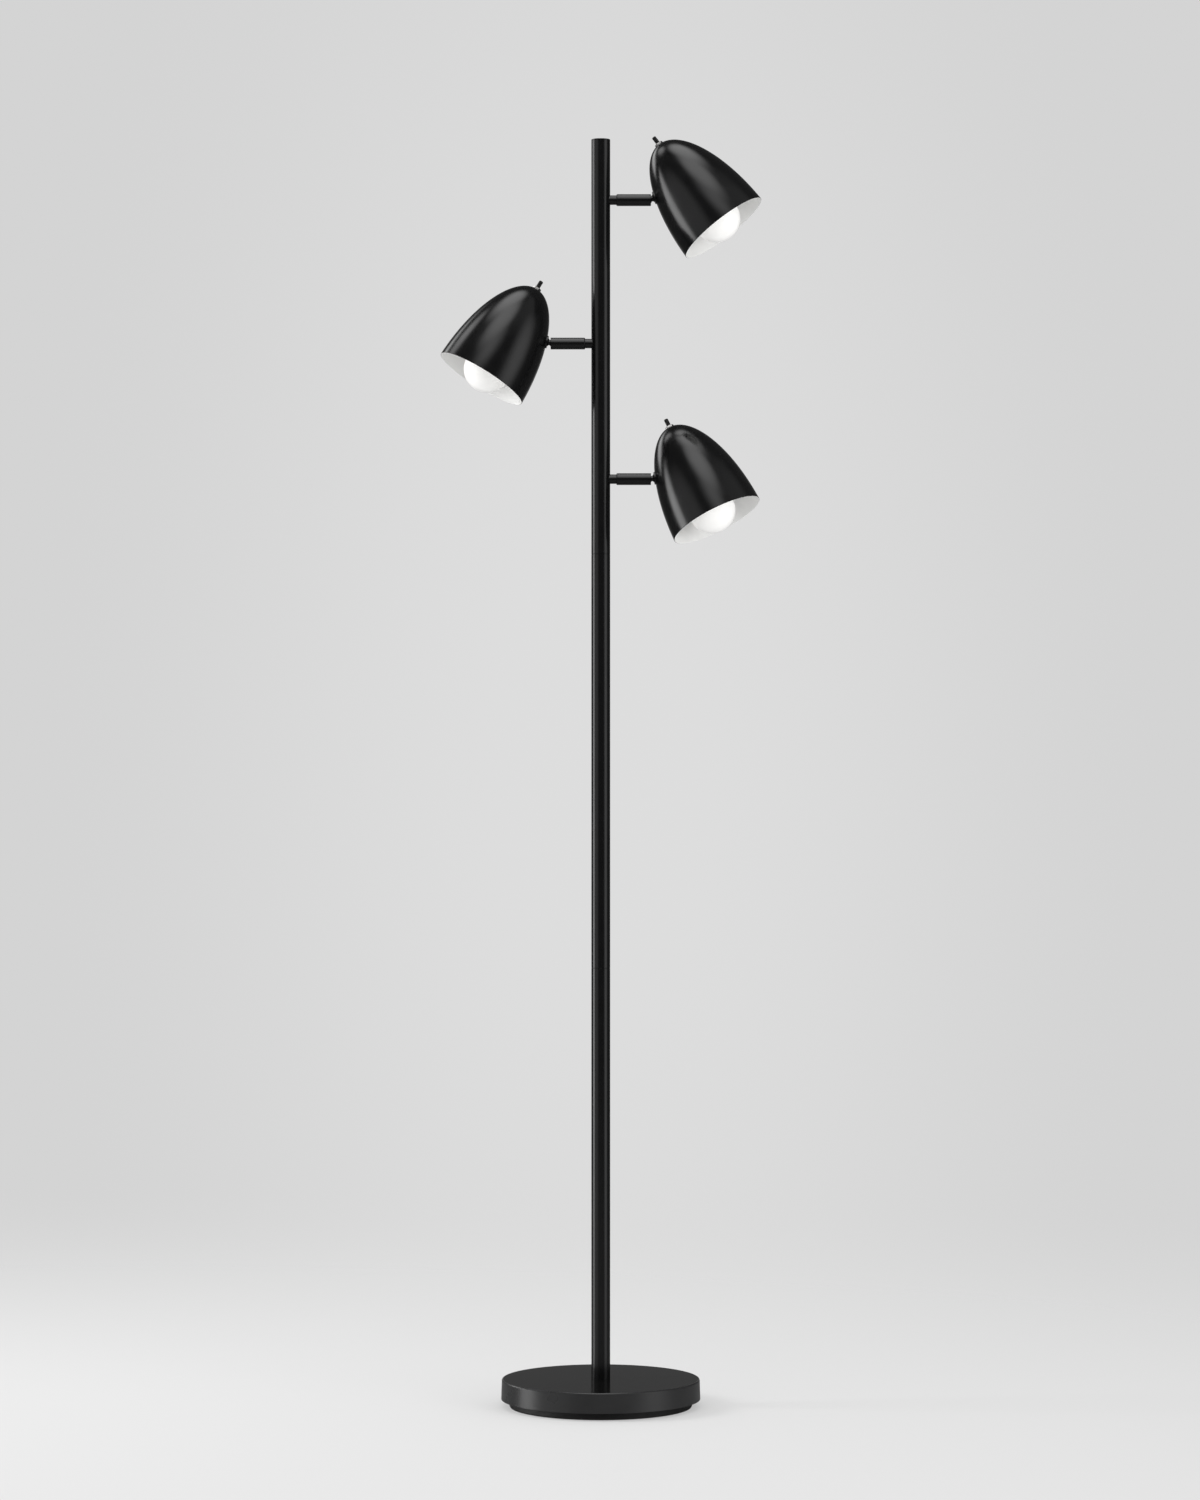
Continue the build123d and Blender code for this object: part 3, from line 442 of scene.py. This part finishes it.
class LAMP_OT_finishes(bpy.types.Operator):
    """Makes every finish of the lamp"""

    bl_idname = "lamp.finishes"
    bl_label = "Finishes"

    def execute(self, context):
        tones = context.scene.lamp_finishes
        finish("satin black paint", tones.paint, tones.pole_gloss, height=1e-6)
        finish("shade black paint", tones.shade_paint, tones.shade_gloss)
        # The base's side finish is lightened as painted sheen. Its top finish below is darkened, with almost
        # no specular, as painted shade standing in for a dim reflection.
        finish("base side enamel with painted sheen", tones.base_side_painted_sheen, tones.base_gloss, cloud=25.0, height=1e-6)
        finish(
            "base top enamel with painted shade",
            tones.base_top_painted_shade,
            tones.base_top_gloss,
            cloud=25.0,
            height=3e-7,
            **{"Specular IOR Level": 0.006},
        )
        finish("white lining enamel", tones.lining, 0.35, spread=0.04, height=3e-6)
        finish(
            "frosted bulb glass",
            tones.bulb,
            0.3,
            spread=0.03,
            ripple=1800.0,
            height=4e-6,
            **{"Emission Color": (1.0, 0.995, 0.98, 1.0), "Emission Strength": tones.bulb_glow},
        )
        metals = (
            ("nickel plate", tones.nickel, 0.22, 350.0, 2500.0, 2e-6),
            ("zinc plate", (0.5, 0.5, 0.49), 0.4, 300.0, 2500.0, 4e-6),
            ("lampholder brass", (0.68, 0.5, 0.24), 0.3, 200.0, 1500.0, 3e-6),
            ("cap aluminium", (0.75, 0.75, 0.75), 0.35, 200.0, 1500.0, 3e-6),
        )
        for name, tint, roughness, cloud, ripple, height in metals:
            finish(name, tint, roughness, cloud=cloud, ripple=ripple, height=height, Metallic=1.0)
        finish("cast iron", (0.055, 0.05, 0.047), 0.7, cloud=90.0, spread=0.3, ripple=400.0, height=1.5e-4)
        finish("black plinth plastic", (0.006, 0.006, 0.006), 0.55, cloud=80.0, ripple=1600.0, height=1e-5)
        finish("foam pad", (0.02, 0.02, 0.02), 0.95, cloud=300.0, spread=0.3, ripple=900.0, height=2e-4)
        finish("inlet rubber", (0.009, 0.009, 0.009), 0.6, cloud=150.0, ripple=2000.0, height=1e-5)
        finish("black phenolic", (0.012, 0.011, 0.01), 0.3, cloud=120.0, ripple=900.0, height=4e-6)
        pale = {"ripple": 900.0, "height": 4e-6}
        finish("natural nylon", (0.72, 0.7, 0.64), 0.45, cloud=200.0, spread=0.08, **pale)
        finish("terminal plastic", (0.78, 0.77, 0.73), 0.4, cloud=150.0, spread=0.06, **pale)
        finish("wire insulation", (0.012, 0.012, 0.012), 0.5, cloud=200.0, ripple=1200.0, height=6e-6)
        finish("knob plastic", tones.knob, 0.35, cloud=400.0, ripple=3000.0, height=5e-6)
        return {"FINISHED"}


# ---- Pieces ----
class LAMP_OT_base(bpy.types.Operator):
    """Presses the base's cover, with its rounded edge, and finishes what it holds"""

    bl_idname = "lamp.base"
    bl_label = "Base"

    def execute(self, context):
        sizes = context.scene.lamp_sizes
        low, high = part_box("base_cover")
        foot, top = high.x, high.x - sizes.base_taper
        wall, hole = sizes.base_wall, sizes.pole_hole
        corners = (
            (foot - wall, low.z),
            (foot, low.z),
            (top, high.z),
            (hole, high.z),
            (hole, high.z - wall),
            (top - wall, high.z - wall),
        )
        foot_rounding, inner_rounding = 0.0003, sizes.base_rounding - wall
        roundings = (foot_rounding, foot_rounding, sizes.base_rounding, 0.0, 0.0, inner_rounding)
        profile = softened(corners, roundings, steps=9)
        middle = (profile + np.roll(profile, -1, axis=0)) / 2
        hair = 0.00001
        # Faces of the flat top get the painted-shade top finish, and the rest get the side finish with
        # painted sheen.
        flat = (middle[:, 1] > high.z - hair) & (middle[:, 0] < top - sizes.base_rounding)
        cover = skin(
            "base_cover_shell",
            lathe(profile, UPRIGHT, columns=256),
            ["base side enamel with painted sheen", "base top enamel with painted shade"],
            loop=True,
            slots=flat,
        )
        inlet_low, inlet_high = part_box("cord_bushing")
        inlet_height = (inlet_low.z + inlet_high.z) / 2
        backwards = SimpleNamespace(
            origin=np.array((0.0, 0.0, inlet_height)), axis=np.array((0.0, 1.0, 0.0)), across=UPRIGHT.axis
        )
        inside, outside = 0.9 * foot, foot + 0.01
        cutter = lathe(rod(sizes.inlet_hole, inside, outside), backwards, columns=64)
        pierced(cover, skin("inlet_hole", cutter, ["base side enamel with painted sheen"]))
        settle(cover, "stand", "base_black_gloss", "base_cover")
        dress("black plinth plastic", "base_plinth")
        dress("foam pad", "base_pad")
        dress("cast iron", "base_weight")
        dress("zinc plate", "base_stud", "base_nut")
        dress("inlet rubber", "cord_bushing")
        dress("terminal plastic", "terminal_block")
        return {"FINISHED"}


class LAMP_OT_pole(bpy.types.Operator):
    """Finishes the pole's sections, its couplings and its cap"""

    bl_idname = "lamp.pole"
    bl_label = "Pole"

    def execute(self, context):
        dress("satin black paint", "pole_lower", "pole_middle", "pole_upper", "pole_cap", "arm_nipples")
        dress("zinc plate", "pole_foot", "lower_coupling", "middle_coupling", "saddle_nuts")
        dress("wire insulation", "pole_wiring", *(f"head_lead_{name}" for name in HEADS))
        return {"FINISHED"}


class LAMP_OT_arms(bpy.types.Operator):
    """Turns the three arm sleeves, hollow for the ball at their outer end, and finishes their seats"""

    bl_idname = "lamp.arms"
    bl_label = "Arms"

    def execute(self, context):
        sizes = context.scene.lamp_sizes
        for name in HEADS:
            place = head_places(name, sizes).arm
            ball = abs(JOINTS[f"spin_{name}"]["pos_m"][0])
            profile = self.profile(*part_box(f"arm_sleeve_{name}"), ball, sizes)
            sleeve = skin(f"sleeve_{name}", lathe(profile, place), ["satin black paint"], loop=True)
            settle(sleeve, "stand", "satin_black_paint", f"arm_sleeve_{name}")
            dress("natural nylon", f"ball_seat_{name}")
        return {"FINISHED"}

    def profile(self, low, high, ball, sizes):
        """Section of a sleeve between its box's two x.

        The lip that holds the ball is an arc about the ball's middle: radius = hollow * cos(turn)
        and station = ball + hollow * sin(turn). Behind it the hollow runs straight to the bore.
        """
        clearance, lip_end, bore_depth, end_rounding = 0.0001, 26.0, 0.014, 0.0005
        radius = (high.z - low.z) / 2
        start, end = sorted((abs(low.x), abs(high.x)))
        hollow = sizes.ball_radius + clearance
        turn = np.radians(np.linspace(0.0, lip_end, 9))
        lip = np.stack((hollow * np.cos(turn), ball + hollow * np.sin(turn)), axis=1)
        bore, step = sizes.sleeve_bore, start + bore_depth
        corners = np.concatenate(
            (
                ((bore, start), (radius, start), (radius, end), (sizes.sleeve_mouth, end)),
                lip[::-1],
                ((hollow, step), (bore, step)),
            )
        )
        roundings = np.zeros(len(corners))
        roundings[1:3] = sizes.sleeve_rounding, end_rounding
        return softened(corners, roundings)


class LAMP_OT_joints(bpy.types.Operator):
    """Turns the ball studs and the collars that sit on the shades, and finishes the nuts inside them"""

    bl_idname = "lamp.joints"
    bl_label = "Ball joints"

    def execute(self, context):
        sizes = context.scene.lamp_sizes
        for name in HEADS:
            places = head_places(name, sizes)
            self.stud(name, places, sizes)
            self.collar(name, places, sizes)
            dress("zinc plate", f"stud_nut_{name}")
        return {"FINISHED"}

    def stud(self, name, places, sizes):
        """Ball, neck and threaded end, bored through for the wire, with the bore's mouth flared.

        The ball is an arc: radius = R cos(turn) and station = R sin(turn), from the mouth to the neck.
        """
        bore, mouth = 0.002, 0.0032
        ball, neck, thread = sizes.ball_radius, sizes.neck_radius, sizes.thread_radius
        turn = np.linspace(-np.arccos(mouth / ball), np.arccos(neck / ball), 25)
        sphere = np.stack((ball * np.cos(turn), ball * np.sin(turn)), axis=1)
        shoulder, end = sizes.neck_end, sizes.stud_length
        shank = (
            (neck, shoulder),
            (thread, shoulder),
            (thread, end),
            (bore, end),
            (bore, sphere[0, 1] + mouth - bore),
        )
        profile = np.concatenate((sphere, shank))
        stud = skin(f"ball_and_neck_{name}", lathe(profile, places.joint), ["satin black paint"], loop=True)
        settle(stud, f"ball_{name}", "zinc_steel", f"ball_stud_{name}")

    def collar(self, name, places, sizes):
        """Concave collar with a thin flange whose face follows the shade.

        The hollow is a quarter ellipse: radius = waist - (waist - tip) cos(turn) and station =
        start + (flange - start) sin(turn). The two rows round the face are landed on the shade.
        """
        tip, waist, rim = 0.00425, 0.0073, sizes.collar_radius
        start, flange, face = sizes.collar_start, 0.0085, 0.0096
        flange_rounding, shade_gap = 0.00035, 0.00004
        neck, thread, shoulder = sizes.neck_radius + FIT, sizes.thread_radius + FIT, sizes.neck_end + FIT
        turn = np.linspace(0.0, np.pi / 2, 12)[1:-1]
        hollow = np.stack(
            (waist - (waist - tip) * np.cos(turn), start + (flange - start) * np.sin(turn)), axis=1
        )
        corners = np.concatenate(
            (((neck, start), (tip, start)), hollow, ((waist, flange), (rim, flange), (rim, face)))
        )
        roundings = np.zeros(len(corners))
        roundings[-2] = flange_rounding
        outside = softened(corners, roundings, closed=False)
        inside = np.array(((thread, face), (thread, shoulder), (neck, shoulder)))
        grid = lathe(np.concatenate((outside, inside)), places.joint)
        rows = [len(outside) - 1, len(outside)]
        grid[rows] = landed(grid[rows], places.joint, places.shade, sizes, -shade_gap)
        collar = skin(f"collar_{name}", grid, ["satin black paint"], loop=True)
        settle(collar, f"head_{name}", "satin_black_paint", f"shade_collar_{name}")


class LAMP_OT_shades(bpy.types.Operator):
    """Spins the three shades: black outside, white enamel inside, with a rounded rim"""

    bl_idname = "lamp.shades"
    bl_label = "Shades"

    def execute(self, context):
        sizes = context.scene.lamp_sizes
        wall, rings = sizes.shade_wall, 90
        hole_start, hole_end = 0.006, 0.015
        outer = ellipse_profile(sizes, 0.0, rings)
        inner = ellipse_profile(sizes, wall, rings)[::-1]
        corners = np.concatenate((inner[-1:], outer, inner[:-1]))
        roundings = np.zeros(len(corners))
        roundings[:2] = sizes.shade_rim
        profile = softened(corners, roundings)
        middle = (profile + np.roll(profile, -1, axis=0)) / 2
        short, long = ellipse_radii(sizes, wall / 2)
        lined = (middle[:, 0] / short) ** 2 + ((middle[:, 1] + sizes.shade_beyond) / long) ** 2 < 1
        for name in HEADS:
            places = head_places(name, sizes)
            shade = skin(
                f"shade_shell_{name}",
                lathe(profile, places.shade, columns=192),
                ["shade black paint", "white lining enamel"],
                loop=True,
                slots=lined,
            )
            cutter = lathe(rod(sizes.stud_hole, hole_start, hole_end), places.joint, columns=48)
            pierced(shade, skin("stud_hole", cutter, ["shade black paint"]))
            settle(shade, f"head_{name}", "shade_paint", f"shade_{name}")
        return {"FINISHED"}


class LAMP_OT_switches(bpy.types.Operator):
    """Shapes the switch nuts and the fluted knobs on the crowns, and finishes the bushings"""

    bl_idname = "lamp.switches"
    bl_label = "Switches"

    def execute(self, context):
        sizes = context.scene.lamp_sizes
        for name in HEADS:
            places = head_places(name, sizes)
            self.nut(name, places, sizes)
            self.knob(name, places, sizes)
            dress("nickel plate", f"switch_bushing_{name}")
        return {"FINISHED"}

    def nut(self, name, places, sizes):
        """Hexagon nut, cut from a round blank: radius = half the flats / cos(angle to the nearest
        flat's middle), kept inside a cone that bevels the corners at the top."""
        half_flats, blank, bore = sizes.nut_flats / 2, 0.006, sizes.bushing_radius + FIT
        bevel_depth, bevel_inset, bevel_slope, bore_chamfer = 0.0007, 0.0001, 1.4, 0.00005
        base = places.shade.nut_base
        top = base + sizes.nut_height
        bevel = top - np.linspace(bevel_depth, 0.0, 8)
        profile = np.concatenate(
            (
                ((bore, base), (blank, base)),
                np.stack((np.full(len(bevel), blank), bevel), axis=1),
                ((bore + bore_chamfer, top), (bore, top - bore_chamfer)),
            )
        )

        def hexagon(radius, station, turn):
            flat = np.mod(turn, np.pi / 3) - np.pi / 6
            cone = half_flats - bevel_inset + (top - station) * bevel_slope
            edge = np.minimum(half_flats / np.cos(flat), cone)
            return np.where(radius > half_flats, np.minimum(edge, radius), radius)

        grid = lathe(profile, places.shade, swell=hexagon)
        nut = skin(f"hex_nut_{name}", grid, ["nickel plate"], loop=True, crease=25.0)
        settle(nut, f"head_{name}", "nickel", f"switch_nut_{name}")

    def knob(self, name, places, sizes):
        """Round knob with grip grooves: inside a groove the radius is R cos(a) - sqrt(r^2 - R^2 sin(a)^2),
        where a is the angle to the groove's middle, R the knob's radius and r the groove's."""
        base = places.shade.knob_base
        top = base + sizes.knob_length
        radius, rounding = sizes.knob_radius, sizes.knob_rounding
        shaft, shaft_end, shaft_rounding, foot_rounding = 0.0015, base - 0.018, 0.0002, 0.00015
        corners = (
            (0.0, shaft_end),
            (shaft, shaft_end),
            (shaft, base),
            (radius, base),
            (radius, top),
            (0.0, top),
        )
        roundings = (0.0, shaft_rounding, 0.0, foot_rounding, rounding, 0.0)
        profile = softened(corners, roundings, closed=False)
        ledge = top - rounding

        def fluted(radii, station, turn):
            spacing = 2 * np.pi / sizes.knob_flutes
            away = np.mod(turn + spacing / 2, spacing) - spacing / 2
            depth = sizes.flute_radius**2 - (radius * np.sin(away)) ** 2
            groove = radius * np.cos(away) - np.sqrt(np.maximum(depth, 0.0))
            grip = (depth > 0) & (station > base - SAME) & (station < ledge + SAME)
            return np.where(grip, np.minimum(radii, groove), radii)

        grid = lathe(profile, places.shade, columns=240, swell=fluted)
        knob = skin(f"grip_knob_{name}", grid, ["knob plastic"])
        settle(knob, f"knob_{name}", "knob_plastic", f"switch_knob_{name}")


class LAMP_OT_lights(bpy.types.Operator):
    """Blows the frosted bulbs and finishes the lampholders that carry them"""

    bl_idname = "lamp.lights"
    bl_label = "Bulbs and lampholders"

    def execute(self, context):
        sizes = context.scene.lamp_sizes
        profile = self.profile(sizes)
        for name in HEADS:
            place = head_places(name, sizes).shade
            bulb = skin(f"bulb_{name}", lathe(profile, place, columns=128), ["frosted bulb glass"])
            settle(bulb, f"head_{name}", "frosted_glass", f"bulb_glass_{name}")
            dress("cap aluminium", f"bulb_cap_{name}")
            dress("black phenolic", f"socket_body_{name}")
            dress("lampholder brass", f"socket_shell_{name}")
        return {"FINISHED"}

    def profile(self, sizes):
        """Outline of a bulb, from the middle of its round end to its cap.

        The round end is an arc: radius = R cos(turn) and station = depth + R sin(turn). The
        shoulder is the cubic curve that leaves along the arc and arrives along the neck, with
        both pulls as long as the straight line between its ends.
        """
        widest, neck = sizes.bulb_radius, sizes.bulb_neck
        arc_end, neck_start, neck_end = 38.0, 0.0679, 0.0759
        turn = np.radians(np.linspace(-90.0, arc_end, 60))
        globe = np.stack((widest * np.cos(turn), sizes.bulb_depth + widest * np.sin(turn)), axis=1)
        globe[0, 0] = 0.0
        u = np.linspace(0.0, 1.0, 30)[1:, None]
        start, end = globe[-1], np.array((neck, neck_start))
        pull = np.linalg.norm(end - start)
        leave = pull * np.array((-np.sin(turn[-1]), np.cos(turn[-1])))
        arrive = pull * np.array((0.0, 1.0))
        shoulder = (
            (2 * u**3 - 3 * u**2 + 1) * start
            + (u**3 - 2 * u**2 + u) * leave
            + (3 * u**2 - 2 * u**3) * end
            + (u**3 - u**2) * arrive
        )
        return np.concatenate((globe, shoulder, ((neck, neck_end), (0.0, neck_end))))


# ---- Stage ----
def blend(tree, factor, low, high):
    """A number between two others."""
    return add(tree, "ShaderNodeMix", {0: factor, 2: low, 3: high}).outputs[0]


def maths(tree, operation, *values):
    """What a maths node's operation makes of one or two values."""
    return add(tree, "ShaderNodeMath", dict(enumerate(values)), operation=operation).outputs[0]


def ramped(tree, value, start, end, low, high):
    """A value that eases from low to high between start and end."""
    made = add(
        tree,
        "ShaderNodeMapRange",
        {"Value": value, "From Min": start, "From Max": end, "To Min": low, "To Max": high},
        interpolation_type="SMOOTHSTEP",
    )
    return made.outputs["Result"]


def softbox(name, azimuth, elevation, distance, size, radiance):
    """Rectangular light that faces the lamp.

    Azimuth runs from the camera's side to the right and elevation up, in degrees. An area light
    of power pi * area * radiance shines with that radiance.
    """
    lamp_middle = Vector((0.0, 0.0, 0.85))
    light = bpy.data.lights.new(name, "AREA")
    light.shape = "RECTANGLE"
    light.size, light.size_y = size
    light.energy = np.pi * size[0] * size[1] * radiance
    made = bpy.data.objects.new(name, light)
    bpy.context.scene.collection.objects.link(made)
    around, up = np.radians((azimuth, elevation))
    way = Vector((np.sin(around) * np.cos(up), -np.cos(around) * np.cos(up), np.sin(up)))
    made.location = lamp_middle + way * distance
    made.rotation_euler = (-way).to_track_quat("-Z", "Y").to_euler()
    made.visible_camera = False
    made.visible_glossy = False


def window(tree, panorama, at, reach, tilt, core, radiance):
    """A soft light as gloss shows it, in a panorama of azimuth and elevation in degrees.

    The distance from the window's middle, turned back by the tilt and measured in its reach
    along and up, is 1 at its edge; the light is full inside the core and eases out to nothing.
    """
    away = add(tree, "ShaderNodeVectorMath", {0: panorama, 1: (*at, 0.0)}, operation="SUBTRACT")
    turned = add(
        tree,
        "ShaderNodeVectorRotate",
        {"Vector": away.outputs["Vector"], "Angle": -np.radians(tilt)},
        rotation_type="Z_AXIS",
    )
    turned = turned.outputs["Vector"]
    scaled = add(tree, "ShaderNodeVectorMath", {0: turned, 1: (*reach, 1.0)}, operation="DIVIDE")
    distance = add(tree, "ShaderNodeVectorMath", {0: scaled.outputs["Vector"]}, operation="LENGTH")
    return ramped(tree, distance.outputs["Value"], core, 1.0, radiance, 0.0)


def spot(tree, way, azimuth, elevation, core, edge, radiance):
    """A round soft light as gloss shows it: full within the core angle of its middle, out by the edge."""
    around, up = np.radians((azimuth, elevation))
    middle = (np.sin(around) * np.cos(up), -np.cos(around) * np.cos(up), np.sin(up))
    near = add(tree, "ShaderNodeVectorMath", {0: way, 1: middle}, operation="DOT_PRODUCT").outputs["Value"]
    return ramped(tree, near, np.cos(np.radians(edge)), np.cos(np.radians(core)), 0.0, radiance)


class LAMP_OT_stage(bpy.types.Operator):
    """Sets up the camera, the pale floor and backdrop, and the soft studio light"""

    bl_idname = "lamp.stage"
    bl_label = "Stage"

    def execute(self, context):
        stage = context.scene.lamp_stage
        self.camera(context, stage)
        self.world(context, stage)
        self.floor(stage)
        softbox("strip_left", azimuth=-88.0, elevation=22.0, distance=2.6, size=(0.6, 1.2), radiance=14.0)
        softbox("overhead", azimuth=-15.0, elevation=72.0, distance=2.8, size=(1.8, 1.8), radiance=1.0)
        softbox("side_right", azimuth=46.0, elevation=5.0, distance=6.0, size=(2.8, 2.4), radiance=5.6)
        context.scene.view_settings.view_transform = "Standard"
        return {"FINISHED"}

    def camera(self, context, stage):
        """Level camera that looks along +Y."""
        data = bpy.data.cameras.new("camera")
        data.sensor_width = 36.0
        data.lens = stage.camera_lens
        camera = bpy.data.objects.new("camera", data)
        context.scene.collection.objects.link(camera)
        camera.location = stage.camera_place
        camera.rotation_euler = (np.pi / 2, 0.0, 0.0)
        context.scene.camera = camera

    def world(self, context, stage):
        """Pale backdrop for what is seen directly or through glass, soft lights in a dark studio with
        a dimmer backdrop for gloss, and an even light for everything else."""
        world = bpy.data.worlds.new("studio")
        context.scene.world = world
        world.use_nodes = True
        tree = world.node_tree
        tree.nodes.clear()
        path = add(tree, "ShaderNodeLightPath").outputs
        way = add(tree, "ShaderNodeTexCoord").outputs["Generated"]
        parts = add(tree, "ShaderNodeSeparateXYZ", {"Vector": way}).outputs
        # The backdrop darkens away from straight ahead, faster sideways than up.
        fade, bright_within, dark_beyond = (7.0, 0.0, 3.0), 0.1, 0.95
        aside = add(tree, "ShaderNodeVectorMath", {0: way, 1: fade}, operation="MULTIPLY")
        aside = add(tree, "ShaderNodeVectorMath", {0: aside.outputs["Vector"]}, operation="LENGTH")
        wall = ramped(tree, aside.outputs["Value"], bright_within, dark_beyond, stage.wall, stage.wall_edge)
        forwards = maths(tree, "MULTIPLY", parts["Y"], -1.0)
        azimuth = maths(tree, "ARCTAN2", parts["X"], forwards)
        elevation = maths(tree, "ARCSINE", parts["Z"])
        radians = add(tree, "ShaderNodeCombineXYZ", {"X": azimuth, "Y": elevation}).outputs["Vector"]
        to_degrees = (180 / np.pi, 180 / np.pi, 0.0)
        panorama = add(tree, "ShaderNodeVectorMath", {0: radians, 1: to_degrees}, operation="MULTIPLY")
        panorama = panorama.outputs["Vector"]
        lights = (
            spot(tree, way, azimuth=-90.0, elevation=86.0, core=6.0, edge=27.0, radiance=2.8),
            spot(tree, way, azimuth=-3.0, elevation=62.0, core=6.0, edge=26.0, radiance=2.4),
            spot(tree, way, azimuth=-114.0, elevation=46.0, core=2.0, edge=14.0, radiance=2.2),
            window(tree, panorama, at=(0.0, 38.0), reach=(32.0, 22.0), tilt=0.0, core=0.1, radiance=1.4),
            window(tree, panorama, at=(64.0, 4.0), reach=(30.0, 48.0), tilt=0.0, core=0.15, radiance=1.1),
            window(tree, panorama, at=(70.0, 45.0), reach=(60.0, 30.0), tilt=0.0, core=0.3, radiance=0.3),
            window(tree, panorama, at=(-58.0, 2.0), reach=(36.0, 36.0), tilt=0.0, core=0.4, radiance=0.5),
            window(tree, panorama, at=(-93.0, -8.0), reach=(16.0, 34.0), tilt=18.0, core=0.4, radiance=3.9),
            window(tree, panorama, at=(-124.0, 18.0), reach=(12.0, 40.0), tilt=61.0, core=0.3, radiance=3.0),
        )
        wall_starts, wall_full = 0.9, 0.99
        reflected = ramped(tree, parts["Y"], wall_starts, wall_full, stage.studio, stage.wall_in_gloss)
        for light in lights:
            reflected = maths(tree, "MAXIMUM", reflected, light)
        plain = blend(tree, path["Is Glossy Ray"], stage.ambient, reflected)
        seen = maths(tree, "MAXIMUM", path["Is Camera Ray"], path["Is Transmission Ray"])
        level = blend(tree, seen, plain, wall)
        background = add(tree, "ShaderNodeBackground", {"Strength": level, "Color": (1.0, 1.0, 1.0, 1.0)})
        add(tree, "ShaderNodeOutputWorld", {"Surface": background.outputs["Background"]})

    def floor(self, stage):
        """Large disc with a painted pool of light left in front of the base, which leaves the floor to the
        right darker as painted shadow; it fades into the backdrop and is clear from below.
        Gloss shows only a share of it."""
        material = bpy.data.materials.new("studio floor")
        material.use_nodes = True
        tree = material.node_tree
        tree.nodes.clear()
        path = add(tree, "ShaderNodeLightPath").outputs
        place = add(tree, "ShaderNodeTexCoord").outputs["Object"]
        # The floor is palest round a point left in front of the base: a painted pool of light, which also
        # paints the floor to the right darker as shadow.
        painted_light_middle, full_within, gone_beyond = (-0.7, -0.9, 0.0), 0.9, 3.7
        away = add(tree, "ShaderNodeVectorMath", {0: place, 1: painted_light_middle}, operation="DISTANCE")
        cover = ramped(tree, away.outputs["Value"], full_within, gone_beyond, 1.0, 0.0)
        beneath = add(tree, "ShaderNodeNewGeometry").outputs["Backfacing"]
        cover = blend(tree, beneath, cover, 0.0)
        dimmed = maths(tree, "MULTIPLY", cover, stage.floor_in_gloss)
        cover = blend(tree, path["Is Glossy Ray"], cover, dimmed)
        seen = maths(tree, "MAXIMUM", path["Is Camera Ray"], path["Is Transmission Ray"])
        seen = maths(tree, "MAXIMUM", seen, path["Is Diffuse Ray"])
        glow = blend(tree, seen, 0.0, stage.floor * (1 - stage.floor_shadow))
        lit = stage.floor * stage.floor_shadow
        matte = add(tree, "ShaderNodeBsdfDiffuse", {"Color": (lit, lit, lit, 1.0)})
        light = add(tree, "ShaderNodeEmission", {"Strength": glow, "Color": (1.0, 1.0, 1.0, 1.0)})
        both = add(tree, "ShaderNodeAddShader", {0: matte.outputs["BSDF"], 1: light.outputs["Emission"]})
        clear = add(tree, "ShaderNodeBsdfTransparent")
        shaders = {0: cover, 1: clear.outputs["BSDF"], 2: both.outputs["Shader"]}
        surface = add(tree, "ShaderNodeMixShader", shaders)
        add(tree, "ShaderNodeOutputMaterial", {"Surface": surface.outputs["Shader"]})
        height, radii = -0.0001, (6.0, 4.0, 2.0, 0.0)
        rings = np.array([(radius, height) for radius in radii])
        floor = skin("studio_floor", lathe(rings, UPRIGHT, columns=128), ["studio floor"])


OPERATORS = (
    LAMP_OT_finishes,
    LAMP_OT_base,
    LAMP_OT_pole,
    LAMP_OT_arms,
    LAMP_OT_joints,
    LAMP_OT_shades,
    LAMP_OT_switches,
    LAMP_OT_lights,
    LAMP_OT_stage,
)
SETTINGS = {"lamp_sizes": LampSizes, "lamp_finishes": LampFinishes, "lamp_stage": LampStage}


class LAMP_PT_panel(bpy.types.Panel):
    """Lists the settings and the pieces"""

    bl_label = "Floor Lamp"
    bl_idname = "LAMP_PT_panel"
    bl_space_type = "VIEW_3D"
    bl_region_type = "UI"
    bl_category = "Floor Lamp"

    def draw(self, context):
        for operator in OPERATORS:
            self.layout.operator(operator.bl_idname)
        for group in SETTINGS:
            settings = getattr(context.scene, group)
            column = self.layout.column(align=True)
            for name in settings.__annotations__:
                column.prop(settings, name)


def register():
    """Registers the settings, the operators and the panel."""
    for group in (*SETTINGS.values(), *OPERATORS, LAMP_PT_panel):
        bpy.utils.register_class(group)
    for name, group in SETTINGS.items():
        setattr(bpy.types.Scene, name, PointerProperty(type=group))


def unregister():
    """Takes away what register() added."""
    for name in SETTINGS:
        delattr(bpy.types.Scene, name)
    for group in (LAMP_PT_panel, *reversed(OPERATORS), *SETTINGS.values()):
        bpy.utils.unregister_class(group)


def main():
    """Builds the whole lamp and its stage."""
    register()
    bpy.ops.lamp.finishes()
    bpy.ops.lamp.base()
    bpy.ops.lamp.pole()
    bpy.ops.lamp.arms()
    bpy.ops.lamp.joints()
    bpy.ops.lamp.shades()
    bpy.ops.lamp.switches()
    bpy.ops.lamp.lights()
    bpy.ops.lamp.stage()


if __name__ == "__main__":
    main()
